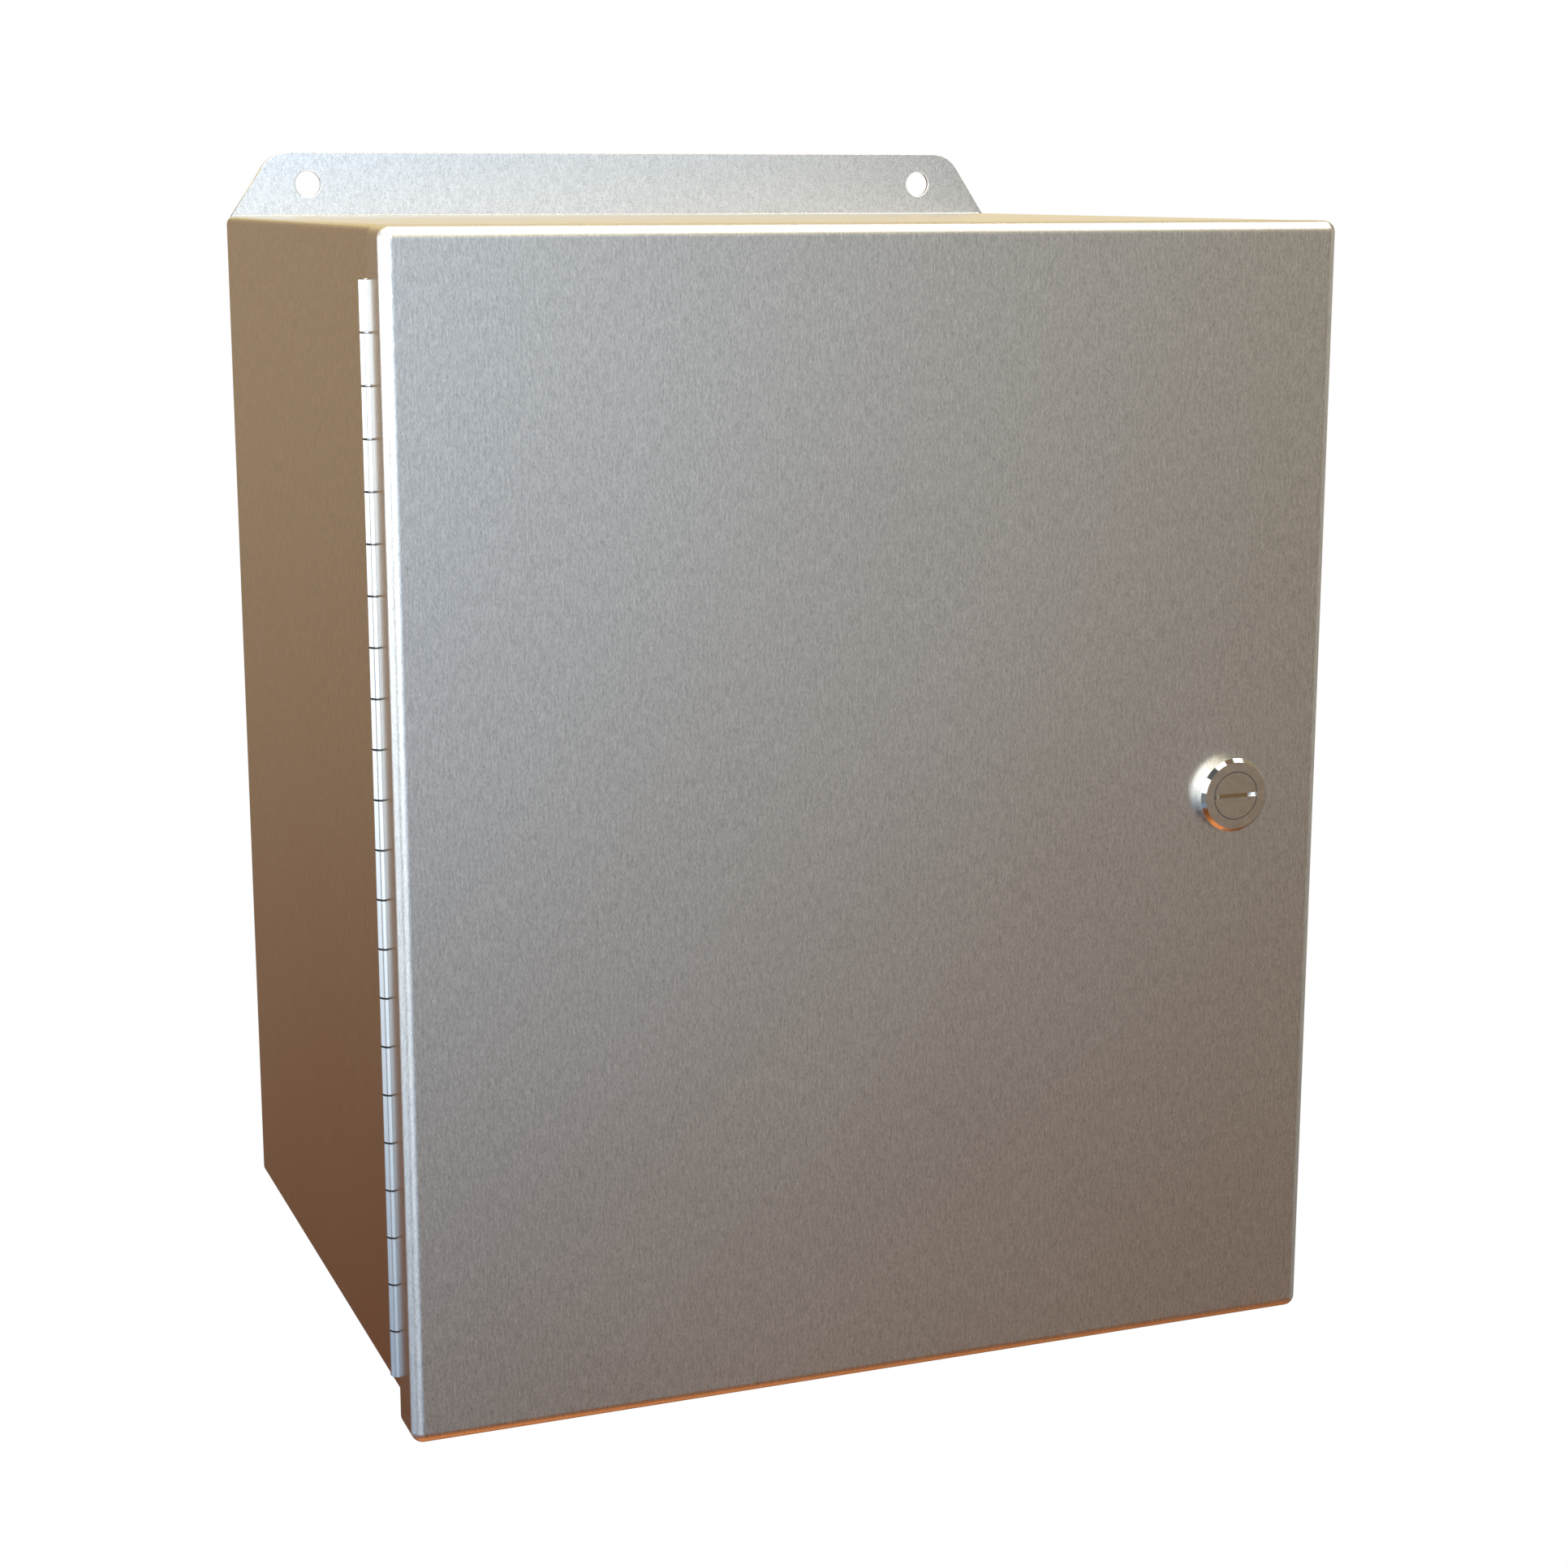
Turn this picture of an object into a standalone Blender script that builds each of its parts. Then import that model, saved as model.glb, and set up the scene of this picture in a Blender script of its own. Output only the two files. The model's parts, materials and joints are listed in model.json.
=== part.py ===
"""Wall-mount hinged-cover steel enclosure, modelled as separate named pieces.

Units are metres.  +X is to the right and -Y is out of the wall, seen from the front; +Z is up.
The origin is the centre of the body's back face, which lies on the wall.
"""

import math

import bmesh
import bpy
from mathutils import Matrix, Vector

# ---------------------------------------------------------------- driving dimensions
SHEET = 0.0015              # 16 gauge stainless steel
BEND = 0.0025               # outside radius of the body's folds and dressed welds
DOOR_BEND = 0.0032          # outside radius of the door's folds
FOLD_STEPS = 4              # facets in a quarter-round fold
GAP = 0.0003                # between pieces that touch
FOLD_GAP = 0.0004           # between pieces that swing past a fold

BODY_WIDTH = 0.2540
BODY_HEIGHT = 0.3048
TOTAL_DEPTH = 0.2159        # wall to the door's outer face

DOOR_SIDE_OVERHANG = 0.0032
DOOR_BOTTOM_OVERHANG = 0.0026
DOOR_FLANGE = 0.0141        # depth of the door's return flanges

FLANGE_HEIGHT = 0.01905     # mounting flanges, above and below the body
FLANGE_BASE_INSET = 0.00165
FLANGE_SLANT = 0.0127
FLANGE_CORNER = 0.0102
MOUNT_HOLE_RADIUS = 0.00395
MOUNT_HOLE_SPACING = 0.2032

HINGE_RADIUS = 0.0023       # outside of the knuckles
HINGE_BORE = 0.0014
HINGE_PIN_RADIUS = 0.0012
HINGE_LEAF = 0.0010
BODY_LEAF_MARGIN = 0.0006   # body leaf's free edge to the sealing lip
DOOR_LEAF_DEPTH = 0.0130    # hinge axis to the door leaf's free edge
KNUCKLE_PITCH = 0.0128
KNUCKLES = 22
HINGE_TOP = 0.1397

LIP_INSET = 0.0090          # body side to the outside of the sealing lip
LIP_CORNER = 0.0040
GASKET_WIDTH = 0.0100
GASKET_THICKNESS = 0.0048
GASKET_CORNER = 0.0025

LATCH_X = 0.10205
BEZEL_RADIUS = 0.0102
BEZEL_FACE_RADIUS = 0.0092
BEZEL_HEIGHT = 0.0036
LATCH_BARREL_RADIUS = 0.0070
BARREL_TO_CAM = 0.0007
INSERT_RADIUS = 0.00645
SLOT_WIDTH = 0.0011
SLOT_DEPTH = 0.0014
INSERT_EDGE = 0.0002        # chamfer round the insert's face
SHAFT_RADIUS = 0.0040
SQUARE_HALF = 0.0028        # half the width of the square that drives the cam
STUB_RADIUS = 0.0020        # threaded end behind the square
STUB_PROUD = 0.0014
RUNNING_GAP = 0.0002        # round the parts that turn
SEAL_INSET = 0.0006         # bezel's rim outside the seal
SEAL_RECESS = 0.0011
LATCH_NUT_HALF = 0.0090     # half the width across flats
LATCH_NUT_THICKNESS = 0.0035
CAM_THICKNESS = 0.0025
CAM_WIDTH = 0.0140
CAM_REACH = 0.0200
CAM_HUB_RADIUS = 0.0090
CAM_CORNER = 0.0025
CAM_WASHER_RADIUS = 0.0050
CAM_WASHER_THICKNESS = 0.0010
CAM_NUT_HALF = 0.0035
CAM_NUT_THICKNESS = 0.0032

PANEL_WIDTH = 0.2090
PANEL_HEIGHT = 0.2600
PANEL_THICKNESS = 0.0019
PANEL_STANDOFF = 0.0120
PANEL_CORNER = 0.0040
PANEL_STUD_X = 0.0950
PANEL_STUD_Z = 0.1205
STUD_RADIUS = 0.0031        # quarter-inch thread
STUD_CHAMFER = 0.0008
STUD_CLEARANCE = 0.0008     # round the stud in the panel's hole
STUD_FOOT_RADIUS = 0.0065   # weld pad under the collar
STUD_FOOT_THICKNESS = 0.0012
COLLAR_RADIUS = 0.0048
STUD_PROUD = 0.0050         # thread beyond the nut
PANEL_WASHER_RADIUS = 0.0070
WASHER_THICKNESS = 0.0012
NUT_HALF = 0.0055
NUT_THICKNESS = 0.0055

EARTH_FOOT_RADIUS = 0.0050
EARTH_STUD_LENGTH = 0.0150
EARTH_WASHER_RADIUS = 0.0062
EARTH_LUG_SPACE = 0.0020    # for wire terminals, below the washer
GROUND_PLACE = (-0.0800, -0.0550)   # x, y on the body's floor
BOND_PLACE = (-0.0920, -0.1220)     # x, z on the door's inner face

ROUND = 24                  # facets round a small turned piece
ROUND_FINE = 48
CLEAR = 0.0100              # how far a cutting tool runs past what it cuts

# ---------------------------------------------------------------- derived places
HALF_WIDTH = BODY_WIDTH / 2
HALF_HEIGHT = BODY_HEIGHT / 2
BACK_INNER = -SHEET

DOOR_FRONT = -TOTAL_DEPTH
DOOR_INNER = DOOR_FRONT + SHEET
DOOR_REAR = DOOR_FRONT + DOOR_FLANGE
DOOR_HALF_WIDTH = HALF_WIDTH + DOOR_SIDE_OVERHANG
DOOR_TOP = HALF_HEIGHT
DOOR_BOTTOM = -HALF_HEIGHT - DOOR_BOTTOM_OVERHANG
DOOR_MIDDLE = (DOOR_TOP + DOOR_BOTTOM) / 2

HINGE_X = -HALF_WIDTH - HINGE_RADIUS - GAP
HINGE_Y = DOOR_REAR + HINGE_RADIUS + FOLD_GAP
BODY_FRONT = HINGE_Y - HINGE_RADIUS + HINGE_LEAF + GAP
HINGE_BOTTOM = HINGE_TOP - KNUCKLES * KNUCKLE_PITCH

LIP_HALF_WIDTH = HALF_WIDTH - LIP_INSET
LIP_HALF_HEIGHT = HALF_HEIGHT - LIP_INSET
GASKET_FRONT = DOOR_INNER + GAP
GASKET_REAR = GASKET_FRONT + GASKET_THICKNESS
LIP_FRONT = GASKET_REAR + GAP

BEZEL_BACK = DOOR_FRONT - GAP
BEZEL_FACE = BEZEL_BACK - BEZEL_HEIGHT
CAM_FRONT = BODY_FRONT + SHEET + FOLD_GAP
CAM_BACK = CAM_FRONT + CAM_THICKNESS
BARREL_END = CAM_FRONT - BARREL_TO_CAM

PANEL_BACK = BACK_INNER - PANEL_STANDOFF - GAP
PANEL_FRONT = PANEL_BACK - PANEL_THICKNESS


# ---------------------------------------------------------------- scene and materials
def clear_scene():
    for obj in list(bpy.data.objects):
        bpy.data.objects.remove(obj, do_unlink=True)


def material(name, colour, roughness, metallic):
    mat = bpy.data.materials.new(name)
    mat.use_nodes = True
    shader = mat.node_tree.nodes["Principled BSDF"]
    shader.inputs["Base Color"].default_value = (*colour, 1.0)
    shader.inputs["Roughness"].default_value = roughness
    shader.inputs["Metallic"].default_value = metallic
    return mat


# ---------------------------------------------------------------- shape tools
def finish(name, bm, mat=None, smooth_angle=35):
    """Turn a bmesh into a named object with consistent outward faces."""
    bmesh.ops.remove_doubles(bm, verts=bm.verts, dist=1e-6)
    bmesh.ops.recalc_face_normals(bm, faces=bm.faces)
    mesh = bpy.data.meshes.new(name)
    bm.to_mesh(mesh)
    bm.free()
    mesh.shade_smooth()
    mesh.set_sharp_from_angle(angle=math.radians(smooth_angle))
    obj = bpy.data.objects.new(name, mesh)
    bpy.context.collection.objects.link(obj)
    if mat:
        mesh.materials.append(mat)
    return obj


def boolean(target, tool, operation):
    """Cut or join target with tool, keep the result as target's mesh, and drop the tool."""
    modifier = target.modifiers.new(operation.title(), "BOOLEAN")
    modifier.object = tool
    modifier.operation = operation
    modifier.solver = "EXACT"
    depsgraph = bpy.context.evaluated_depsgraph_get()
    result = bpy.data.meshes.new_from_object(target.evaluated_get(depsgraph))
    target.modifiers.remove(modifier)
    old = target.data
    target.data = result
    result.name = target.name
    bpy.data.meshes.remove(old)
    bpy.data.objects.remove(tool, do_unlink=True)
    return target


def clean(obj, smooth_angle=35):
    """Merge flat neighbours left by a boolean and shade the folds smooth."""
    bm = bmesh.new()
    bm.from_mesh(obj.data)
    bmesh.ops.remove_doubles(bm, verts=bm.verts, dist=2e-6)
    bmesh.ops.dissolve_limit(bm, angle_limit=math.radians(0.5), verts=bm.verts, edges=bm.edges)
    bmesh.ops.recalc_face_normals(bm, faces=bm.faces)
    bm.to_mesh(obj.data)
    bm.free()
    obj.data.shade_smooth()
    obj.data.set_sharp_from_angle(angle=math.radians(smooth_angle))
    return obj


def box(name, low, high, radius=0.0, rounded=None, mat=None):
    """A box; edges whose two end points satisfy rounded() get a radius."""
    low = Vector(low)
    high = Vector(high)
    bm = bmesh.new()
    bmesh.ops.create_cube(bm, size=1.0)
    for vert in bm.verts:
        vert.co = [low[i] if vert.co[i] < 0 else high[i] for i in range(3)]
    if radius:
        edges = [e for e in bm.edges if rounded(e.verts[0].co, e.verts[1].co)]
        bmesh.ops.bevel(bm, geom=edges, offset=radius, segments=FOLD_STEPS, profile=0.5, affect="EDGES")
    return finish(name, bm, mat)


def all_edges(_start, _end):
    return True


def along_y(start, end):
    return abs(start.y - end.y) > 1e-5


def arc(centre_x, centre_z, radius, start_deg, end_deg, steps):
    """Points on an arc in the XZ plane, both ends included."""
    points = []
    for step in range(steps + 1):
        angle = math.radians(start_deg + (end_deg - start_deg) * step / steps)
        points.append((centre_x + radius * math.cos(angle), centre_z + radius * math.sin(angle)))
    return points


def rounded_rectangle(half_width, low_z, high_z, radius, steps=4):
    x = half_width - radius
    return (
        arc(x, high_z - radius, radius, 0, 90, steps)
        + arc(-x, high_z - radius, radius, 90, 180, steps)
        + arc(-x, low_z + radius, radius, 180, 270, steps)
        + arc(x, low_z + radius, radius, 270, 360, steps)
    )


def extrusion(name, outline, front, back, mat=None):
    """An XZ outline made solid between two Y planes."""
    bm = bmesh.new()
    verts = [bm.verts.new((x, front, z)) for x, z in outline]
    face = bm.faces.new(verts)
    moved = bmesh.ops.extrude_face_region(bm, geom=[face])
    shift = Vector((0, back - front, 0))
    far_verts = [v for v in moved["geom"] if isinstance(v, bmesh.types.BMVert)]
    bmesh.ops.translate(bm, vec=shift, verts=far_verts)
    return finish(name, bm, mat)


def ring_loft(name, rings, closed, mat=None):
    """Bridge rings of equal point counts; closed joins last ring to first, else both ends are capped."""
    bm = bmesh.new()
    rows = [[bm.verts.new(point) for point in ring] for ring in rings]
    pairs = list(zip(rows, rows[1:]))
    if closed:
        pairs.append((rows[-1], rows[0]))
    for first, second in pairs:
        count = len(first)
        for i in range(count):
            j = (i + 1) % count
            bm.faces.new((first[i], first[j], second[j], second[i]))
    if not closed:
        bm.faces.new(rows[0])
        bm.faces.new(rows[-1])
    return finish(name, bm, mat)


def circle(radius, y, centre=(0, 0), count=ROUND):
    """Ring of points round an axis along Y; centre is (x, z)."""
    points = []
    for i in range(count):
        angle = 2 * math.pi * i / count
        points.append((centre[0] + radius * math.cos(angle), y, centre[1] + radius * math.sin(angle)))
    return points


def polygon(apothem, sides, turn_deg, y, centre=(0, 0), count=ROUND):
    """A regular polygon sampled at the same angles as circle(), with a flat facing turn_deg."""
    sector = 2 * math.pi / sides
    points = []
    for i in range(count):
        angle = 2 * math.pi * i / count
        off = (angle - math.radians(turn_deg) + sector / 2) % sector - sector / 2
        radius = apothem / math.cos(off)
        points.append((centre[0] + radius * math.cos(angle), y, centre[1] + radius * math.sin(angle)))
    return points


def turned(name, profile, centre, closed, mat, count=ROUND):
    """A piece turned round an axis along Y, from (radius, y) points."""
    return ring_loft(name, [circle(r, y, centre, count) for r, y in profile], closed, mat)


def hex_nut(name, centre, near, far, apothem, bore, mat):
    """A nut between two Y planes, with its corners chamfered on the far side."""
    chamfer = (far - near) * 0.15
    rings = [
        polygon(apothem, 6, 0, near, centre),
        polygon(apothem, 6, 0, far - chamfer, centre),
        polygon(apothem * 0.93, 6, 0, far, centre),
        circle(bore, far, centre),
        circle(bore, near, centre),
    ]
    return ring_loft(name, rings, True, mat)


def washer(name, centre, near, far, outer, inner, mat):
    profile = [(inner, near), (outer, near), (outer, far), (inner, far)]
    return turned(name, profile, centre, True, mat)


def stand_up(obj, place):
    """Turn a piece made along -Y so that it stands up along +Z at place."""
    obj.data.transform(Matrix.Rotation(math.radians(-90), 4, "X"))
    obj.data.transform(Matrix.Translation(place))
    return obj


# ---------------------------------------------------------------- body
def mounting_flange_outline(direction):
    """Outline of one flange, from inside the back sheet out past the body's edge."""
    edge = HALF_HEIGHT
    tip = edge + FLANGE_HEIGHT
    base_x = HALF_WIDTH - FLANGE_BASE_INSET
    tip_x = base_x - FLANGE_SLANT
    root = edge - 2 * BEND
    slant = math.atan2(FLANGE_HEIGHT, FLANGE_SLANT)
    centre_x = tip_x - FLANGE_CORNER * math.tan(slant / 2)
    centre_z = tip - FLANGE_CORNER
    corner = arc(centre_x, centre_z, FLANGE_CORNER, 90 - math.degrees(slant), 90, 6)
    right = [(base_x, root), (base_x, edge)] + corner
    left = [(-x, z) for x, z in reversed(right)]
    return [(x, direction * z) for x, z in right + left]


def make_body(mat):
    shell = box(
        "body_shell",
        (-HALF_WIDTH, BODY_FRONT, -HALF_HEIGHT),
        (HALF_WIDTH, 0, HALF_HEIGHT),
        BEND,
        all_edges,
        mat,
    )
    cavity = box(
        "cavity",
        (-HALF_WIDTH + SHEET, BODY_FRONT + SHEET, -HALF_HEIGHT + SHEET),
        (HALF_WIDTH - SHEET, BACK_INNER, HALF_HEIGHT - SHEET),
        BEND - SHEET,
        all_edges,
    )
    boolean(shell, cavity, "DIFFERENCE")
    lip_outline = rounded_rectangle(LIP_HALF_WIDTH, -LIP_HALF_HEIGHT, LIP_HALF_HEIGHT, LIP_CORNER)
    boolean(shell, extrusion("lip", lip_outline, LIP_FRONT, BODY_FRONT + SHEET / 2), "UNION")
    opening_outline = rounded_rectangle(
        LIP_HALF_WIDTH - SHEET, -LIP_HALF_HEIGHT + SHEET, LIP_HALF_HEIGHT - SHEET, LIP_CORNER - SHEET
    )
    opening = extrusion("opening", opening_outline, LIP_FRONT - CLEAR, BODY_FRONT + CLEAR)
    boolean(shell, opening, "DIFFERENCE")
    for direction in (1, -1):
        flange = extrusion("flange", mounting_flange_outline(direction), BACK_INNER, 0)
        boolean(shell, flange, "UNION")
        for side in (-1, 1):
            centre = (side * MOUNT_HOLE_SPACING / 2, direction * (HALF_HEIGHT + FLANGE_HEIGHT / 2))
            profile = [(MOUNT_HOLE_RADIUS, CLEAR), (MOUNT_HOLE_RADIUS, -CLEAR)]
            boolean(shell, turned("hole", profile, centre, False, None), "DIFFERENCE")
    return clean(shell)


# ---------------------------------------------------------------- hinge
def knuckle_span(index):
    low = HINGE_BOTTOM + index * KNUCKLE_PITCH
    return low + GAP / 2, low + KNUCKLE_PITCH - GAP / 2


def upright_cylinder(name, radius, low, high, count):
    points = [(p[0], p[2]) for p in circle(radius, 0, (HINGE_X, HINGE_Y), count)]
    rings = [[(x, y, z) for x, y in points] for z in (low, high)]
    return ring_loft(name, rings, False)


def make_leaf(name, plate, tab, first, mat):
    """A leaf plate with its own knuckles; plate and tab are (x low, x high, y low, y high) from the axis."""
    leaf = box(
        name,
        (HINGE_X + plate[0], HINGE_Y + plate[2], HINGE_BOTTOM + GAP / 2),
        (HINGE_X + plate[1], HINGE_Y + plate[3], HINGE_TOP - GAP / 2),
        mat=mat,
    )
    for index in range(first, KNUCKLES, 2):
        low, high = knuckle_span(index)
        near = (HINGE_X + tab[0], HINGE_Y + tab[2], low)
        far = (HINGE_X + tab[1], HINGE_Y + tab[3], high)
        boolean(leaf, box("tab", near, far), "UNION")
        boolean(leaf, upright_cylinder("knuckle", HINGE_RADIUS, low, high, 16), "UNION")
    bore = upright_cylinder("bore", HINGE_BORE, HINGE_BOTTOM - CLEAR, HINGE_TOP + CLEAR, 12)
    boolean(leaf, bore, "DIFFERENCE")
    return clean(leaf)


def make_hinge(mat):
    near = HINGE_RADIUS + GAP
    body_plate = (near, near + LIP_INSET - BODY_LEAF_MARGIN, -HINGE_RADIUS, -HINGE_RADIUS + HINGE_LEAF)
    body_tab = (0, near + HINGE_LEAF, -HINGE_RADIUS, -HINGE_RADIUS + HINGE_LEAF)
    body_leaf = make_leaf("hinge_body_leaf", body_plate, body_tab, 0, mat)
    door_plate = (HINGE_RADIUS - HINGE_LEAF, HINGE_RADIUS, -DOOR_LEAF_DEPTH, -near)
    door_tab = (HINGE_RADIUS - HINGE_LEAF, HINGE_RADIUS, -near - HINGE_LEAF, 0)
    door_leaf = make_leaf("hinge_door_leaf", door_plate, door_tab, 1, mat)
    pin = upright_cylinder("hinge_pin", HINGE_PIN_RADIUS, HINGE_BOTTOM, HINGE_TOP, 16)
    pin.data.materials.append(mat)
    return body_leaf, door_leaf, pin


# ---------------------------------------------------------------- door
def make_door(mat):
    door = box(
        "door_pan",
        (-DOOR_HALF_WIDTH, DOOR_FRONT, DOOR_BOTTOM),
        (DOOR_HALF_WIDTH, DOOR_REAR, DOOR_TOP),
        DOOR_BEND,
        lambda start, end: along_y(start, end) or (start.y + end.y) / 2 < DOOR_REAR - GAP,
        mat,
    )
    inside = box(
        "inside",
        (-DOOR_HALF_WIDTH + SHEET, DOOR_INNER, DOOR_BOTTOM + SHEET),
        (DOOR_HALF_WIDTH - SHEET, DOOR_REAR + CLEAR, DOOR_TOP - SHEET),
        DOOR_BEND - SHEET,
        lambda start, end: along_y(start, end) or (start.y + end.y) / 2 < DOOR_REAR,
    )
    boolean(door, inside, "DIFFERENCE")
    radius = LATCH_BARREL_RADIUS + GAP
    profile = [(radius, DOOR_FRONT - CLEAR), (radius, DOOR_INNER + CLEAR)]
    boolean(door, turned("hole", profile, (LATCH_X, DOOR_MIDDLE), False, None, ROUND_FINE), "DIFFERENCE")
    return clean(door)


def make_gasket(mat):
    middle_x = LIP_HALF_WIDTH - SHEET / 2
    middle_z = LIP_HALF_HEIGHT - SHEET / 2
    half = GASKET_WIDTH / 2
    rings = []
    for offset, y in ((half, GASKET_FRONT), (half, GASKET_REAR), (-half, GASKET_REAR), (-half, GASKET_FRONT)):
        half_height = middle_z + offset
        outline = rounded_rectangle(middle_x + offset, -half_height, half_height, GASKET_CORNER, 3)
        rings.append([(x, y, z) for x, z in outline])
    return ring_loft("door_gasket", rings, True, mat)


# ---------------------------------------------------------------- latch
def make_latch(chrome, zinc, rubber):
    centre = (LATCH_X, DOOR_MIDDLE)
    counterbore = INSERT_RADIUS + RUNNING_GAP
    floor = BEZEL_BACK + RUNNING_GAP
    bore = SHAFT_RADIUS + RUNNING_GAP
    recess_radius = BEZEL_RADIUS - SEAL_INSET
    recess_floor = BEZEL_BACK - SEAL_RECESS
    housing_profile = [
        (counterbore, BEZEL_FACE),
        (BEZEL_FACE_RADIUS, BEZEL_FACE),
        (BEZEL_RADIUS, BEZEL_FACE + BEZEL_RADIUS - BEZEL_FACE_RADIUS),
        (BEZEL_RADIUS, BEZEL_BACK),
        (recess_radius, BEZEL_BACK),
        (recess_radius, recess_floor),
        (LATCH_BARREL_RADIUS, recess_floor),
        (LATCH_BARREL_RADIUS, BARREL_END),
        (bore, BARREL_END),
        (bore, floor),
        (counterbore, floor),
    ]
    housing = turned("latch_housing", housing_profile, centre, True, chrome, ROUND_FINE)
    seal = washer(
        "latch_seal",
        centre,
        recess_floor + GAP,
        BEZEL_BACK,
        recess_radius - GAP,
        LATCH_BARREL_RADIUS + GAP,
        rubber,
    )
    nut_front = DOOR_INNER + GAP
    nut_back = nut_front + LATCH_NUT_THICKNESS
    nut = hex_nut("latch_nut", centre, nut_front, nut_back, LATCH_NUT_HALF, LATCH_BARREL_RADIUS + GAP, zinc)

    square_front = BARREL_END + GAP
    square_end = CAM_BACK - GAP / 2
    washer_front = CAM_BACK + GAP
    washer_back = washer_front + CAM_WASHER_THICKNESS
    cam_nut_near = washer_back + GAP
    cam_nut_far = cam_nut_near + CAM_NUT_THICKNESS
    head_back = floor - GAP
    rings = [
        circle(INSERT_RADIUS - INSERT_EDGE, BEZEL_FACE, centre, ROUND_FINE),
        circle(INSERT_RADIUS, BEZEL_FACE + INSERT_EDGE, centre, ROUND_FINE),
        circle(INSERT_RADIUS, head_back, centre, ROUND_FINE),
        circle(SHAFT_RADIUS, head_back, centre, ROUND_FINE),
        circle(SHAFT_RADIUS, square_front, centre, ROUND_FINE),
        polygon(SQUARE_HALF, 4, 0, square_front, centre, ROUND_FINE),
        polygon(SQUARE_HALF, 4, 0, square_end, centre, ROUND_FINE),
        circle(STUB_RADIUS, square_end, centre, ROUND_FINE),
        circle(STUB_RADIUS, cam_nut_far + STUB_PROUD, centre, ROUND_FINE),
    ]
    insert = ring_loft("latch_insert", rings, False, chrome)
    slot = box(
        "slot",
        (LATCH_X - CLEAR, BEZEL_FACE - CLEAR, DOOR_MIDDLE - SLOT_WIDTH / 2),
        (LATCH_X + CLEAR, BEZEL_FACE + SLOT_DEPTH, DOOR_MIDDLE + SLOT_WIDTH / 2),
    )
    clean(boolean(insert, slot, "DIFFERENCE"))

    cam = extrusion("latch_cam", cam_outline(), CAM_FRONT, CAM_BACK, zinc)
    hole_half = SQUARE_HALF + RUNNING_GAP
    hole = box(
        "hole",
        (LATCH_X - hole_half, CAM_FRONT - CLEAR, DOOR_MIDDLE - hole_half),
        (LATCH_X + hole_half, CAM_BACK + CLEAR, DOOR_MIDDLE + hole_half),
    )
    clean(boolean(cam, hole, "DIFFERENCE"))
    stub_hole = STUB_RADIUS + GAP
    cam_washer = washer("cam_washer", centre, washer_front, washer_back, CAM_WASHER_RADIUS, stub_hole, zinc)
    cam_nut = hex_nut("cam_nut", centre, cam_nut_near, cam_nut_far, CAM_NUT_HALF, stub_hole, zinc)
    return [housing, seal, nut], [insert, cam, cam_washer, cam_nut]


def cam_outline():
    """Round hub with a straight arm that points up when the latch is turned clear."""
    half = CAM_WIDTH / 2
    meet = math.degrees(math.acos(half / CAM_HUB_RADIUS))
    tip = CAM_REACH - CAM_CORNER
    points = arc(0, 0, CAM_HUB_RADIUS, 180 - meet, 360 + meet, 16)
    points += arc(half - CAM_CORNER, tip, CAM_CORNER, 0, 90, 3)
    points += arc(CAM_CORNER - half, tip, CAM_CORNER, 90, 180, 3)
    return [(LATCH_X + x, DOOR_MIDDLE + z) for x, z in points]


# ---------------------------------------------------------------- inner panel and studs
def make_panel(mat):
    outline = rounded_rectangle(PANEL_WIDTH / 2, -PANEL_HEIGHT / 2, PANEL_HEIGHT / 2, PANEL_CORNER)
    panel = extrusion("inner_panel", outline, PANEL_FRONT, PANEL_BACK, mat)
    for x in (-PANEL_STUD_X, PANEL_STUD_X):
        for z in (-PANEL_STUD_Z, PANEL_STUD_Z):
            radius = STUD_RADIUS + STUD_CLEARANCE
            profile = [(radius, PANEL_FRONT - CLEAR), (radius, PANEL_BACK + CLEAR)]
            boolean(panel, turned("hole", profile, (x, z), False, None), "DIFFERENCE")
    return clean(panel)


def make_panel_fixings(steel):
    foot = BACK_INNER - GAP
    shoulder = BACK_INNER - PANEL_STANDOFF
    foot_top = foot - STUD_FOOT_THICKNESS
    washer_back = PANEL_FRONT - GAP
    washer_front = washer_back - WASHER_THICKNESS
    nut_back = washer_front - GAP
    nut_front = nut_back - NUT_THICKNESS
    tip = nut_front - STUD_PROUD
    bore = STUD_RADIUS + GAP
    number = 0
    for z in (PANEL_STUD_Z, -PANEL_STUD_Z):
        for x in (-PANEL_STUD_X, PANEL_STUD_X):
            number += 1
            centre = (x, z)
            profile = [
                (STUD_FOOT_RADIUS, foot),
                (STUD_FOOT_RADIUS, foot_top),
                (COLLAR_RADIUS, foot_top),
                (COLLAR_RADIUS, shoulder),
                (STUD_RADIUS, shoulder),
                (STUD_RADIUS, tip + STUD_CHAMFER),
                (STUD_RADIUS - STUD_CHAMFER, tip),
            ]
            turned(f"panel_stud_{number}", profile, centre, False, steel)
            name = f"panel_washer_{number}"
            washer(name, centre, washer_back, washer_front, PANEL_WASHER_RADIUS, bore, steel)
            hex_nut(f"panel_nut_{number}", centre, nut_back, nut_front, NUT_HALF, bore, steel)


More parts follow.
